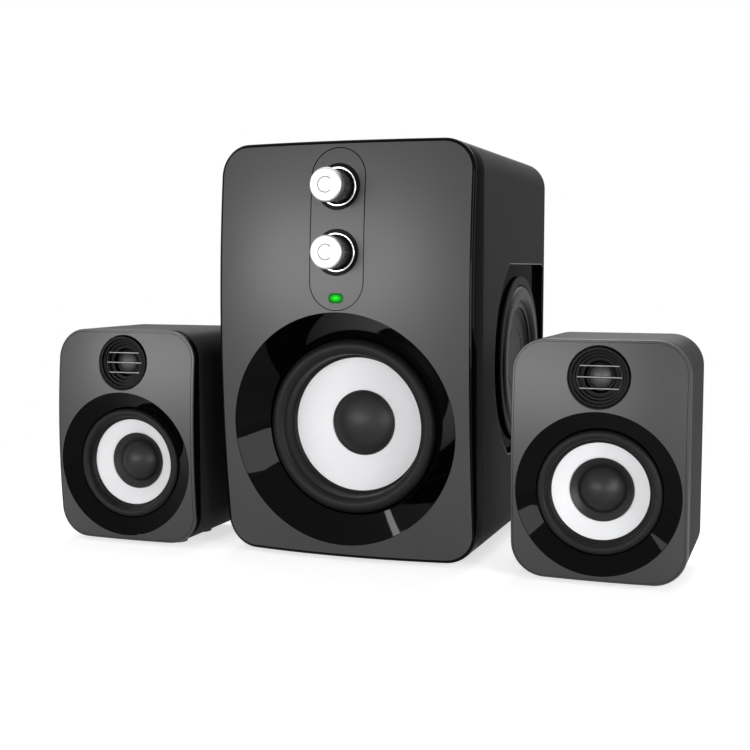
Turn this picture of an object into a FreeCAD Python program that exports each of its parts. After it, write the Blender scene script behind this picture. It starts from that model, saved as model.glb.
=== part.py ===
import FreeCAD, Part
import math
import os
import re

import Sketcher
from FreeCAD import Placement, Rotation, Vector

# Desktop speakers: a subwoofer with two satellites.
# Millimetres. +X is the listener's right, +Y points away from the listener and +Z is up.
# The origin is on the floor, under the middle of the whole set.
# Heights inside a cabinet are counted from the underside of its case, and depths from the
# most forward point of its face.

SIZES = (
    # (name, value, what it is)
    ("foot_height", 2, "rubber foot under every case"),
    ("foot_radius", 6, "rubber foot radius"),
    ("foot_inset", 20, "foot centre from the side wall"),
    ("fit_gap", 0.3, "gap between neighbouring curved parts"),
    ("slip_gap", 0.2, "gap around a part that drops into another"),
    ("shaft_gap", 0.05, "radial clearance of a shaft in its hole"),
    ("subwoofer_shift", -1.8, "subwoofer middle plane in X"),
    ("satellite_spread", 126.8, "satellite middle planes in X, left and right"),
    ("left_setback", 3.4, "left satellite face behind the subwoofer face"),
    ("right_setback", 0.5, "right satellite face behind the subwoofer face"),
    # subwoofer cabinet
    ("sub_width", 135, "overall width"),
    ("sub_height", 209, "overall height"),
    ("sub_depth", 168, "face to back of case"),
    ("sub_corner", 15.5, "corner radius seen from the front"),
    ("sub_wall", 5, "case wall"),
    ("sub_seam", 27, "depth at which moulding and case meet"),
    ("sub_skin", 3, "front moulding wall"),
    ("sub_crown", 120, "height of the most forward point"),
    ("sub_arc_up", 661, "radius of the face from top to bottom"),
    ("sub_arc_across", 314, "radius of the face from side to side"),
    ("sub_edge", 2, "rounding of the face edge"),
    ("sub_lip", 4, "tongue of the moulding inside the case"),
    ("sub_panel", 3, "rear panel thickness"),
    ("sub_panel_inset", 1.5, "rear panel behind the case edge"),
    # satellite cabinets
    ("sat_width", 82.7, "overall width"),
    ("sat_height", 113.8, "overall height"),
    ("sat_depth", 69.2, "face to back of case"),
    ("sat_corner", 15.8, "corner radius seen from the front"),
    ("sat_wall", 3, "case wall"),
    ("sat_seam", 11.2, "depth at which moulding and case meet"),
    ("sat_skin", 2.4, "front moulding wall"),
    ("sat_crown", 56, "height of the most forward point"),
    ("sat_arc_up", 407, "radius of the face from top to bottom"),
    ("sat_arc_across", 297, "radius of the face from side to side"),
    ("sat_edge", 1.6, "rounding of the face edge"),
    ("sat_lip", 3, "tongue of the moulding inside the case"),
    ("sat_panel", 2.5, "rear panel thickness"),
    ("sat_panel_inset", 1.2, "rear panel behind the case edge"),
    # woofer
    ("woofer_height", 65.7, "axis height"),
    ("woofer_mouth", 59, "bowl radius at the face"),
    ("woofer_throat", 45.2, "bowl radius at its bottom"),
    ("woofer_throat_depth", 21.5, "depth of the bowl's inner edge"),
    ("woofer_flange", 3, "ring at the bottom of the bowl"),
    ("woofer_bowl_wall", 2.5, "bowl wall"),
    ("woofer_roll_base", 23.5, "depth where the surround's half round starts"),
    ("woofer_rubber", 0.8, "surround thickness"),
    ("woofer_ring", 34.7, "outer radius of the visible cone"),
    ("woofer_ring_depth", 32.7, "depth of the cone at that radius"),
    ("woofer_neck", 13.4, "inner radius of the cone"),
    ("woofer_neck_depth", 41.2, "depth of the cone at its neck"),
    ("woofer_paper", 1, "cone thickness"),
    ("woofer_cap", 17.2, "dust cap radius"),
    ("woofer_cap_inner", 16.4, "radius where the dome of the cap starts"),
    ("woofer_cap_rise", 6, "dome height of the cap"),
    ("woofer_basket", 53.5, "basket flange radius"),
    ("woofer_basket_depth", 56, "depth of the basket's back face"),
    ("woofer_sheet", 1.2, "basket sheet thickness"),
    ("woofer_waist", 31, "basket radius behind the spider ledge"),
    ("woofer_ledge_depth", 46, "depth of the spider ledge"),
    ("woofer_coil", 13, "voice coil former radius"),
    ("woofer_coil_back", 62, "depth of the former's back end"),
    ("woofer_magnet", 34, "magnet radius"),
    ("woofer_magnet_thickness", 12, "magnet thickness"),
    ("woofer_plate", 4, "magnet plate thickness"),
    ("woofer_pole", 11.8, "pole radius"),
    # satellite drivers
    ("mid_height", 41.7, "axis height"),
    ("mid_mouth", 38.7, "bowl radius at the face"),
    ("mid_throat", 29.8, "bowl radius at its bottom"),
    ("mid_throat_depth", 7.6, "depth of the bowl's inner edge"),
    ("mid_flange", 2.2, "ring at the bottom of the bowl"),
    ("mid_bowl_wall", 2, "bowl wall"),
    ("mid_roll_base", 8.4, "depth where the surround's half round starts"),
    ("mid_rubber", 0.7, "surround thickness"),
    ("mid_ring", 23.1, "outer radius of the visible cone"),
    ("mid_ring_depth", 12.2, "depth of the cone at that radius"),
    ("mid_neck", 9.4, "inner radius of the cone"),
    ("mid_neck_depth", 20.6, "depth of the cone at its neck"),
    ("mid_paper", 0.8, "cone thickness"),
    ("mid_cap", 15.3, "dust cap radius"),
    ("mid_cap_inner", 11.6, "radius where the dome of the cap starts"),
    ("mid_cap_rise", 7, "dome height of the cap"),
    ("mid_basket", 35, "basket flange radius"),
    ("mid_basket_depth", 32, "depth of the basket's back face"),
    ("mid_sheet", 1, "basket sheet thickness"),
    ("mid_waist", 19, "basket radius behind the spider ledge"),
    ("mid_ledge_depth", 25, "depth of the spider ledge"),
    ("mid_coil", 9, "voice coil former radius"),
    ("mid_coil_back", 36, "depth of the former's back end"),
    ("mid_magnet", 22, "magnet radius"),
    ("mid_magnet_thickness", 8, "magnet thickness"),
    ("mid_plate", 3, "magnet plate thickness"),
    ("mid_pole", 7.8, "pole radius"),
    # tweeter
    ("tweeter_height", 96.3, "axis height"),
    ("tweeter_mouth", 14.2, "opening radius in the face"),
    ("tweeter_round", 1.8, "rounding of the opening"),
    ("tweeter_collar", 2, "wall around the tweeter body"),
    ("tweeter_rim_depth", 2.4, "depth of the tweeter body's rim"),
    ("tweeter_step", 1.5, "radial width of each step"),
    ("tweeter_drop", 1.3, "depth of each step"),
    ("tweeter_floor", 8.8, "depth of the floor around the dome"),
    ("tweeter_dome", 5.6, "dome radius"),
    ("tweeter_dome_rise", 2.8, "dome height"),
    ("tweeter_foil", 0.4, "dome thickness"),
    ("tweeter_coil", 2.4, "coil length behind the dome"),
    ("tweeter_back", 14, "depth of the tweeter body's back"),
    ("guard_ring", 10.5, "radius of the three-bar guard"),
    ("guard_bar", 0.6, "bar thickness"),
    ("guard_depth", 1.1, "bar depth along the axis"),
    ("guard_pitch", 5.3, "height between bars"),
    # side radiator
    ("radiator_setback", 115, "axis depth"),
    ("radiator_height", 96, "axis height"),
    ("pocket_depth", 3.5, "pocket in the right wall"),
    ("pocket_radius", 57, "radius of the pocket's front edge"),
    ("pocket_centre", 108, "depth of that radius's centre"),
    ("pocket_height", 97.5, "height of the pocket's middle"),
    ("pocket_share", 0.895, "pocket half height as a share of that radius"),
    ("pocket_back", 165, "depth of the pocket's back edge"),
    ("pocket_corner", 5, "pocket corner radius"),
    ("pocket_floor", 3, "wall behind the pocket"),
    ("radiator_frame", 46, "frame radius"),
    ("radiator_opening", 41, "frame opening radius"),
    ("radiator_hole", 39, "hole in the pocket floor"),
    ("radiator_frame_thickness", 1.2, "frame thickness"),
    ("radiator_roll_inner", 32.2, "inner radius of the surround's roll"),
    ("radiator_crest", 0.3, "crest of the roll behind the side wall's face"),
    ("radiator_plate", 31, "plate radius"),
    ("radiator_plate_thickness", 2.5, "plate thickness"),
    ("radiator_dish", 1.2, "dish in the plate"),
    ("radiator_rubber", 0.8, "surround thickness"),
    # knobs and light
    ("volume_height", 186.3, "volume knob axis height"),
    ("bass_height", 154.2, "bass knob axis height"),
    ("knob_reach", 13.5, "knob front ahead of the face"),
    ("knob_radius", 8.3, "bright cap radius"),
    ("knob_cap", 4.6, "bright cap length"),
    ("knob_grip", 7.5, "dark grip radius"),
    ("knob_ring", 9.7, "bright ring outer radius"),
    ("knob_ring_width", 1.2, "bright ring width"),
    ("knob_ring_proud", 0.8, "bright ring ahead of the face"),
    ("knob_well", 11.5, "well outer radius"),
    ("well_seat", 3, "depth of the ring's seat behind the face"),
    ("well_floor", 1.5, "well floor thickness"),
    ("shaft_radius", 3, "potentiometer shaft radius"),
    ("shaft_insert", 8, "shaft length inside the knob"),
    ("pot_depth", 17, "depth of the potentiometer's front"),
    ("pot_width", 11, "potentiometer width"),
    ("pot_thickness", 6, "potentiometer thickness"),
    ("light_height", 131.8, "power light height"),
    ("light_width", 7.6, "power light width"),
    ("light_tall", 4.6, "power light height of the oval"),
    ("light_proud", 0.4, "power light ahead of the face"),
    ("line_half_width", 14.1, "engraved outline half width"),
    ("line_bottom", 124.3, "engraved outline bottom"),
    ("line_top", 205.6, "engraved outline top"),
    ("line_width", 0.5, "engraved line width"),
    ("line_depth", 0.4, "engraved line depth"),
    # electronics and sockets
    ("board", 1.6, "circuit board thickness"),
    ("amp_width", 84, "amplifier board width"),
    ("amp_tall", 60, "amplifier board height"),
    ("amp_height", 52, "amplifier board middle height"),
    ("amp_gap", 14, "amplifier board ahead of the rear panel"),
    ("sink_width", 50, "heat sink width"),
    ("sink_tall", 34, "heat sink height"),
    ("sink_length", 22, "heat sink length"),
    ("sink_base", 3, "heat sink base thickness"),
    ("sink_fin", 1.6, "heat sink fin thickness"),
    ("socket_hole", 1.85, "bore of an audio socket"),
    ("socket_collar", 3.4, "audio socket collar radius"),
    ("socket_body", 9, "audio socket body width"),
    ("socket_pitch", 22, "audio socket spacing"),
    ("socket_height", 62, "audio socket height"),
    ("inlet_hole", 2.9, "bore of the power inlet"),
    ("inlet_collar", 5, "power inlet collar radius"),
    ("inlet_height", 34, "power inlet height"),
    ("socket_bore_length", 12, "bore length of every socket"),
    ("sat_socket", 13, "length of a satellite's socket"),
    ("sat_socket_height", 24, "height of a satellite's socket"),
    ("screw_head", 3, "screw head radius"),
    ("screw_head_height", 1.1, "screw head thickness"),
    ("screw_shank", 1.4, "screw shank radius"),
    ("screw_length", 9, "screw shank length"),
    ("boss", 5, "screw boss radius"),
    ("boss_length", 14, "screw boss length"),
)

ALIASES = {name for name, value, note in SIZES}
WORD = re.compile(r"[a-z]+(?:_[a-z]+)*")
FOOT_SIDES = (-1, 1)
FINS = 6
SPIDER_WAVES = 5
TWEETER_STEPS = 3
KNOB_ENGRAVED_RADIUS = 4.2
KNOB_ENGRAVED_WIDTH = 0.5
KNOB_ROUND = 0.8
DOME_SHARE = 0.6
PILLOW_SWEEP = 30

doc = FreeCAD.newDocument("DesktopSpeakers")
sheet = doc.addObject("Spreadsheet::Sheet", "Sizes")
sub_parts = []


# ---------------------------------------------------------------- sheet and expressions

def fill_sheet():
    """Write one row per size: a note, its value and its alias."""
    for row, (name, value, note) in enumerate(SIZES, start=1):
        sheet.set(f"A{row}", note)
        sheet.set(f"B{row}", str(value))
        sheet.setAlias(f"B{row}", name)
    doc.recompute()


def linked(formula):
    """Turn the size names in a formula into references to the sheet."""
    def reference(match):
        word = match.group(0)
        return f"Sizes.{word}" if word in ALIASES else word
    return WORD.sub(reference, str(formula))


def number(formula):
    """Value of a formula on the sheet."""
    return float(sheet.evalExpression(linked(formula)))


def bind(item, prop, formula):
    """Bind one property of an object to the sheet."""
    item.setExpression(prop, linked(formula))


def place(item, x="0", y="0", z="0", turn=None):
    """Put a sub-part where the formulas say, turned if asked."""
    if turn is not None:
        item.Placement = Placement(Vector(), turn)
    for axis, formula in zip("xyz", (x, y, z)):
        bind(item, f"Placement.Base.{axis}", formula)


def keep(item, name):
    """Name a finished sub-part and put it on the list to write."""
    item.Label = name
    sub_parts.append(item)
    return item


# ---------------------------------------------------------------- sketches

def origin_plane(body, role):
    """One of the body's own origin planes."""
    return [f for f in body.Origin.OriginFeatures if f.Role == role][0]


def new_sketch(body, role, offset=None):
    """Sketch on an origin plane; the offset is along the plane's normal."""
    sketch = body.newObject("Sketcher::SketchObject", body.Name + "Sketch")
    sketch.AttachmentSupport = [(origin_plane(body, role), "")]
    sketch.MapMode = "FlatFace"
    if offset is not None:
        bind(sketch, "AttachmentOffset.Base.z", offset)
    return sketch


def fix_point(sketch, geometry, position, point):
    """Dimension one point of the sketch from the origin, both ways."""
    for kind, formula in zip(("DistanceX", "DistanceY"), point):
        index = sketch.addConstraint(
            Sketcher.Constraint(kind, -1, 1, geometry, position, number(formula)))
        sketch.setExpression(f"Constraints[{index}]", linked(formula))


def outline(sketch, corners):
    """Closed outline. A corner is (across, up). A corner (across, up, "via") is a point
    that an arc between its two neighbours passes through."""
    points = [Vector(number(c[0]), number(c[1]), 0) for c in corners]
    ends = [i for i, c in enumerate(corners) if len(c) == 2]
    for here, there in zip(ends, ends[1:] + ends[:1]):
        gap = (there - here) % len(corners)
        start = points[here]
        end = points[there]
        if gap == 1:
            piece = sketch.addGeometry(Part.LineSegment(start, end))
            first = 1
        else:
            middle = (here + 1) % len(corners)
            left_turn = (points[middle] - start).cross(end - points[middle]).z > 0
            first = 1 if left_turn else 2
            run = (start, points[middle], end) if left_turn else (end, points[middle], start)
            piece = sketch.addGeometry(Part.Arc(*run))
            mark = sketch.addGeometry(Part.Point(points[middle]), True)
            fix_point(sketch, mark, 1, corners[middle][:2])
            sketch.addConstraint(Sketcher.Constraint("PointOnObject", mark, 1, piece))
        fix_point(sketch, piece, first, corners[here])
        fix_point(sketch, piece, 3 - first, corners[there])


def rounded_rectangle(sketch, width, tall, radius, bottom="0", middle="0"):
    """Upright rectangle with four equal round corners, standing at the height bottom."""
    w = number(width) / 2
    t = number(tall)
    r = number(radius)
    b = number(bottom)
    m = number(middle)
    lines = (
        ((m - w + r, b), (m + w - r, b)),
        ((m + w, b + r), (m + w, b + t - r)),
        ((m + w - r, b + t), (m - w + r, b + t)),
        ((m - w, b + t - r), (m - w, b + r)),
    )
    centres = ((m + w - r, b + r), (m + w - r, b + t - r), (m - w + r, b + t - r), (m - w + r, b + r))
    sides = [sketch.addGeometry(Part.LineSegment(Vector(*a), Vector(*z))) for a, z in lines]
    rounds = []
    for quarter, centre in enumerate(centres):
        start = -math.pi / 2 + quarter * math.pi / 2
        circle = Part.Circle(Vector(*centre), Vector(0, 0, 1), r)
        rounds.append(sketch.addGeometry(Part.ArcOfCircle(circle, start, start + math.pi / 2)))
    for i in range(4):
        sketch.addConstraint(Sketcher.Constraint("Tangent", sides[i], 2, rounds[i], 1))
        sketch.addConstraint(Sketcher.Constraint("Tangent", rounds[i], 2, sides[(i + 1) % 4], 1))
    for i in (0, 2):
        sketch.addConstraint(Sketcher.Constraint("Horizontal", sides[i]))
    for i in (1, 3):
        sketch.addConstraint(Sketcher.Constraint("Vertical", sides[i]))
    for i in range(1, 4):
        sketch.addConstraint(Sketcher.Constraint("Equal", rounds[0], rounds[i]))
    sizes = (
        (Sketcher.Constraint("Radius", rounds[0], r), radius),
        (Sketcher.Constraint("DistanceX", sides[2], 2, sides[0], 2, 2 * w - 2 * r),
         f"({width}) - 2 * ({radius})"),
        (Sketcher.Constraint("DistanceY", sides[0], 1, sides[2], 1, t), tall),
        (Sketcher.Constraint("DistanceX", -1, 1, sides[3], 2, m - w), f"({middle}) - ({width}) / 2"),
        (Sketcher.Constraint("DistanceY", -1, 1, sides[0], 1, b), bottom),
    )
    for constraint, formula in sizes:
        index = sketch.addConstraint(constraint)
        sketch.setExpression(f"Constraints[{index}]", linked(formula))


def circles(sketch, centres, radius):
    """Equal circles at the centres."""
    for centre in centres:
        at = Vector(number(centre[0]), number(centre[1]), 0)
        piece = sketch.addGeometry(Part.Circle(at, Vector(0, 0, 1), number(radius)))
        fix_point(sketch, piece, 3, centre)
        index = sketch.addConstraint(Sketcher.Constraint("Radius", piece, number(radius)))
        sketch.setExpression(f"Constraints[{index}]", linked(radius))


# ---------------------------------------------------------------- features

def new_body(name):
    """Empty PartDesign body."""
    return doc.addObject("PartDesign::Body", name)


def pad(body, sketch, length, backwards=True):
    """Pad of a sketch. Backwards is along +Y for a sketch that faces the listener."""
    feature = body.newObject("PartDesign::Pad", body.Name + "Pad")
    feature.Profile = sketch
    feature.Reversed = backwards
    bind(feature, "Length", length)
    body.Tip = feature
    return feature


def pocket(body, sketch, length, backwards=False):
    """Pocket of a sketch. Without backwards it cuts along +Y from a sketch in the XZ plane."""
    feature = body.newObject("PartDesign::Pocket", body.Name + "Pocket")
    feature.Profile = sketch
    feature.Reversed = backwards
    bind(feature, "Length", length)
    body.Tip = feature
    return feature


def slab(body, start, length, width, tall, radius, bottom="0", middle="0", carve=False):
    """Rounded rectangle from the depth start, padded or cut along +Y."""
    sketch = new_sketch(body, "XZ_Plane", f"-({start})")
    rounded_rectangle(sketch, width, tall, radius, bottom, middle)
    return pocket(body, sketch, length) if carve else pad(body, sketch, length)


def rods(body, start, length, centres, radius, carve=False):
    """Round rods, or round holes, along +Y from the depth start."""
    sketch = new_sketch(body, "XZ_Plane", f"-({start})")
    circles(sketch, centres, radius)
    return pocket(body, sketch, length) if carve else pad(body, sketch, length)


def rod(name, radius, start, length, x="0", z="0"):
    """Round rod along +Y from the depth start."""
    item = doc.addObject("Part::Cylinder", name)
    bind(item, "Radius", radius)
    bind(item, "Height", length)
    place(item, x, start, z, Rotation(Vector(1, 0, 0), -90))
    return item


def turned(name, corners):
    """Body turned about its Y axis from an outline of (radius, depth) corners."""
    body = new_body(name)
    sketch = new_sketch(body, "XY_Plane")
    outline(sketch, corners)
    feature = body.newObject("PartDesign::Revolution", name + "Revolution")
    feature.Profile = sketch
    feature.ReferenceAxis = (sketch, ["V_Axis"])
    feature.Angle = 360
    body.Tip = feature
    return body


def cut(name, base, tool):
    """Base less tool."""
    item = doc.addObject("Part::Cut", name)
    item.Base = base
    item.Tool = tool
    return item


def common(name, base, tool):
    """What base and tool share."""
    item = doc.addObject("Part::Common", name)
    item.Base = base
    item.Tool = tool
    return item


def group(name, items):
    """Several separate solids in one sub-part."""
    item = doc.addObject("Part::Compound", name)
    item.Links = items
    return item


# ---------------------------------------------------------------- cabinets

def face_depth(box, height):
    """Depth of the pillow face on the middle plane at a height."""
    arc = f"{box}_arc_up"
    return f"({arc} - sqrt({arc} * {arc} - (({height}) - {box}_crown) * (({height}) - {box}_crown)))"


def pillow(name, box, inward="0"):
    """Block whose front is the pillow face: an arc from side to side, swept about a level
    axis that runs from side to side behind it. The formula moves the face inwards."""
    body = new_body(name)
    sketch = new_sketch(body, "XY_Plane", f"{box}_crown")
    radius = f"({box}_arc_across - ({inward}))"
    half = f"({box}_width / 2 + 3)"
    rim = f"({box}_arc_across - sqrt({radius} * {radius} - {half} * {half}))"
    back = f"({box}_seam + {box}_lip + 5)"
    outline(sketch, ((f"-{half}", back), (f"-{half}", rim), ("0", inward, "via"), (half, rim), (half, back)))
    level = number(f"{box}_arc_up")
    axis = sketch.addGeometry(Part.LineSegment(Vector(0, level, 0), Vector(level, level, 0)), True)
    fix_point(sketch, axis, 1, ("0", f"{box}_arc_up"))
    fix_point(sketch, axis, 2, (f"{box}_arc_up", f"{box}_arc_up"))
    feature = body.newObject("PartDesign::Revolution", name + "Sweep")
    feature.Profile = sketch
    feature.ReferenceAxis = (sketch, ["Axis0"])
    feature.Midplane = True
    feature.Angle = PILLOW_SWEEP
    body.Tip = feature
    return body


def bowl_cup(name, box, unit, grow):
    """Round cup that narrows from the bowl's mouth, which lies along the tilted face, to its
    throat, and runs on in front of the face. The formula makes it wider all round."""
    u = unit
    mouth = f"({u}_mouth + {grow})"
    tilt = f"(({box}_crown - {u}_height) / {box}_arc_up)"
    spread = f"({u}_mouth * {u}_mouth / 4 * (1 / {box}_arc_up + 1 / {box}_arc_across))"
    depth = f"({face_depth(box, u + '_height')} + {spread})"
    angle = math.degrees(math.asin(number(tilt)))
    lean = Rotation(Vector(1, 0, 0), angle - 90)
    upright = Rotation(Vector(1, 0, 0), -90)
    rims = []
    for radius, y, turn in ((mouth, depth, lean), (f"({u}_throat + {grow})", f"{u}_throat_depth", upright)):
        rim = doc.addObject("Part::Circle", name + "Rim")
        bind(rim, "Radius", radius)
        place(rim, "0", y, f"{u}_height", turn)
        rims.append(rim)
    wall = doc.addObject("Part::Loft", name + "Wall")
    wall.Sections = rims
    wall.Solid = True
    wall.Ruled = True
    front = doc.addObject("Part::Cylinder", name + "Front")
    bind(front, "Radius", mouth)
    bind(front, "Height", f"{u}_mouth / 2")
    place(front, "0", depth, f"{u}_height", Rotation(Vector(1, 0, 0), 90 + angle))
    return [wall, front]


def fuse(name, items):
    """Several solids made one."""
    item = doc.addObject("Part::MultiFuse", name)
    item.Shapes = items
    return item


def bowl_wall(name, box, unit):
    """Solid left around a driver's bowl, with the ring that the basket is screwed to."""
    u = unit
    ring = rod(name + "Ring", f"{u}_basket + 1", f"{u}_throat_depth", f"{u}_flange", "0", f"{u}_height")
    return fuse(name, [*bowl_cup(name, box, u, f"{u}_bowl_wall"), ring])


def bowl_void(name, box, unit):
    """Space inside a driver's bowl, with the round hole behind it."""
    u = unit
    hole = rod(name + "Hole", f"{u}_throat", f"{u}_throat_depth", f"{u}_flange + 1", "0", f"{u}_height")
    return fuse(name, [*bowl_cup(name, box, u, "0"), hole])


def round_face_edge(name, base, box):
    """Round the outer edge of the pillow face."""
    doc.recompute()
    reach = number(f"{box}_seam") - 0.1
    chosen = []
    for index, edge in enumerate(base.Shape.Edges, start=1):
        bounds = edge.BoundBox
        on_face = False
        for face in base.Shape.Faces:
            curved = face.Surface.TypeId not in ("Part::GeomPlane", "Part::GeomCylinder")
            if curved and any(e.isSame(edge) for e in face.Edges):
                on_face = True
        if on_face and bounds.YMax < reach:
            chosen.append(index)
    item = doc.addObject("Part::Fillet", name)
    item.Base = base
    radius = number(f"{box}_edge")
    item.Edges = [(index, radius, radius) for index in chosen]
    return item


def moulding_blank(name, box):
    """Front moulding before its openings: a pillow-faced block with a tongue at the back."""
    body = new_body(name + "Block")
    slab(body, "0", f"{box}_seam", f"{box}_width", f"{box}_height", f"{box}_corner")
    inner = f"{box}_wall + slip_gap"
    slab(body, f"{box}_seam", f"{box}_lip", f"{box}_width - 2 * ({inner})",
         f"{box}_height - 2 * ({inner})", f"{box}_corner - ({inner})", inner)
    shaped = common(name + "Pillow", body, pillow(name + "Torus", box))
    return round_face_edge(name + "Rounded", shaped, box)


def moulding_hollow(name, box):
    """Space behind the face: the same pillow, one skin further in."""
    body = new_body(name + "HollowBlock")
    inner = f"{box}_wall + slip_gap + {box}_skin / 2"
    slab(body, "0", f"{box}_seam + {box}_lip + 1", f"{box}_width - 2 * ({inner})",
         f"{box}_height - 2 * ({inner})", f"{box}_corner - ({inner})", inner)
    return common(name + "HollowPillow", body, pillow(name + "HollowTorus", box, f"{box}_skin"))


def rear_screw_places(box):
    """The four rear screws, at the case's corners."""
    inset = f"({box}_corner - ({box}_corner - {box}_wall + 1 - boss) * 0.7071)"
    return [
        (f"{side} * ({box}_width / 2 - ({inset}))", height)
        for side in FOOT_SIDES
        for height in (inset, f"{box}_height - ({inset})")
    ]


def case_body(name, box):
    """Sleeve with four screw bosses behind its corners and a seat for the rear panel."""
    body = new_body(name)
    length = f"{box}_depth - {box}_seam"
    slab(body, f"{box}_seam", length, f"{box}_width", f"{box}_height", f"{box}_corner")
    slab(body, f"{box}_seam", length, f"{box}_width - 2 * {box}_wall",
         f"{box}_height - 2 * {box}_wall", f"{box}_corner - {box}_wall", f"{box}_wall", carve=True)
    seat = f"{box}_depth - {box}_panel_inset - {box}_panel"
    places = rear_screw_places(box)
    rods(body, f"{seat} - boss_length", "boss_length", places, "boss")
    clearance = "screw_shank + shaft_gap"
    rods(body, f"{seat} - screw_length - 1", "screw_length + 1", places, clearance, carve=True)
    return body


def rear_panel(name, box, holes):
    """Flat panel inside the back of the case, with screw holes and socket holes."""
    body = new_body(name)
    inner = f"{box}_wall + slip_gap"
    start = f"{box}_depth - {box}_panel_inset - {box}_panel"
    slab(body, start, f"{box}_panel", f"{box}_width - 2 * ({inner})",
         f"{box}_height - 2 * ({inner})", f"{box}_corner - ({inner})", inner)
    rods(body, start, f"{box}_panel", rear_screw_places(box), "screw_shank + slip_gap", carve=True)
    for centre, radius in holes:
        rods(body, start, f"{box}_panel", [centre], radius, carve=True)
    return body


def screw(name, length):
    """Pan-head screw, its head at the back: the shank reaches forward from the depth 0."""
    return turned(name, (
        ("0", f"-({length})"),
        ("screw_shank", f"-({length})"),
        ("screw_shank", "0"),
        ("screw_head", "0"),
        ("screw_head", "screw_head_height * 0.5"),
        ("screw_head * 0.7", "screw_head_height"),
        ("screw_head * 0.4", "screw_head_height"),
        ("screw_head * 0.35", "screw_head_height * 0.4"),
        ("0", "screw_head_height * 0.4"),
    ))


def rear_screws(name, box):
    """Four screws that hold the rear panel."""
    items = []
    for index, (x, z) in enumerate(rear_screw_places(box)):
        item = screw(f"{name}{index}", "screw_length")
        place(item, x, f"{box}_depth - {box}_panel_inset", z)
        items.append(item)
    return group(name, items)


def feet(name, box):
    """Four rubber feet, just under the case."""
    items = []
    for side in FOOT_SIDES:
        for depth in (f"{box}_seam + foot_radius + 4", f"{box}_depth - foot_inset"):
            item = doc.addObject("Part::Cylinder", f"{name}{len(items)}")
            bind(item, "Radius", "foot_radius")
            bind(item, "Height", "foot_height")
            place(item, f"{side} * ({box}_width / 2 - foot_inset)", depth, "-foot_height")
            items.append(item)
    return group(name, items)


# ---------------------------------------------------------------- drivers

def cone_depth(unit, radius):
    """Depth of the cone's front at a radius."""
    u = unit
    slope = f"({u}_neck_depth - {u}_ring_depth) / ({u}_ring - {u}_neck)"
    return f"({u}_ring_depth + ({slope}) * ({u}_ring - ({radius})))"


def flange_depth(unit):
    """Depth of the surround's flange, just behind the bowl's ring."""
    return f"({unit}_throat_depth + {unit}_flange + fit_gap)"


def basket_front(unit):
    """Depth of the basket flange, just behind the surround's flange."""
    return f"({flange_depth(unit)} + {unit}_rubber + fit_gap)"


def basket(name, unit):
    """Pressed frame: flange, tapered wall, spider ledge and the ring on the magnet plate."""
    u = unit
    front = basket_front(u)
    sheet_metal = f"{u}_sheet"
    ledge = f"{u}_ledge_depth"
    back = f"{u}_basket_depth"
    return turned(name, (
        (f"{u}_basket", front),
        (f"{u}_throat + 0.5", front),
        (f"{u}_waist + 7", ledge),
        (f"{u}_waist", ledge),
        (f"{u}_waist", f"{back} - {sheet_metal}"),
        (f"{u}_coil + 2", f"{back} - {sheet_metal}"),
        (f"{u}_coil + 2", back),
        (f"{u}_waist + {sheet_metal}", back),
        (f"{u}_waist + {sheet_metal}", f"{ledge} + {sheet_metal}"),
        (f"{u}_waist + 7 + {sheet_metal}", f"{ledge} + {sheet_metal}"),
        (f"{u}_throat + 0.5 + {sheet_metal}", f"{front} + {sheet_metal}"),
        (f"{u}_basket", f"{front} + {sheet_metal}"),
    ))


def surround(name, unit):
    """Rubber ring: outer flange, half round and a leg down to the cone."""
    u = unit
    thick = f"{u}_rubber"
    flange = flange_depth(u)
    outer = f"{u}_throat - fit_gap"
    inner = f"{u}_ring + 2.4"
    middle = f"(({outer}) + ({inner})) / 2"
    half = f"(({outer}) - ({inner})) / 2"
    foot = f"{u}_ring + 1.6"
    base = f"{u}_roll_base"
    return turned(name, (
        (f"{u}_throat + 2.2", flange),
        (outer, flange),
        (outer, base),
        (middle, f"{base} - {half}", "via"),
        (inner, base),
        (foot, f"{cone_depth(u, foot)} - fit_gap - {thick}"),
        (f"{u}_ring", f"{cone_depth(u, u + '_ring')} - fit_gap - {thick} * 0.6"),
        (f"{u}_ring", f"{cone_depth(u, u + '_ring')} - fit_gap"),
        (f"({foot}) + {thick}", f"{cone_depth(u, f'({foot}) + {thick}')} - fit_gap"),
        (f"({inner}) + {thick}", base),
        (middle, f"{base} - {half} + {thick}", "via"),
        (f"({outer}) - {thick}", base),
        (f"({outer}) - {thick}", f"{flange} + {thick}"),
        (f"{u}_throat + 2.2", f"{flange} + {thick}"),
    ))


def cone(name, unit):
    """Straight-sided cone that carries the surround at its rim."""
    u = unit
    edge = f"{u}_ring + 1.5"
    return turned(name, (
        (edge, cone_depth(u, edge)),
        (f"{u}_neck", f"{u}_neck_depth"),
        (f"{u}_neck", f"{u}_neck_depth + {u}_paper"),
        (edge, f"{cone_depth(u, edge)} + {u}_paper"),
    ))


def dome(radius, rise, top):
    """Outline of a round dome from its rim to its top."""
    ball = f"((({radius}) * ({radius}) + ({rise}) * ({rise})) / (2 * ({rise})))"
    part = f"(({radius}) * {DOME_SHARE})"
    return (
        (radius, f"{top} + ({rise})"),
        (part, f"{top} + {ball} - sqrt({ball} * {ball} - {part} * {part})", "via"),
        ("0", top),
    )


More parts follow.
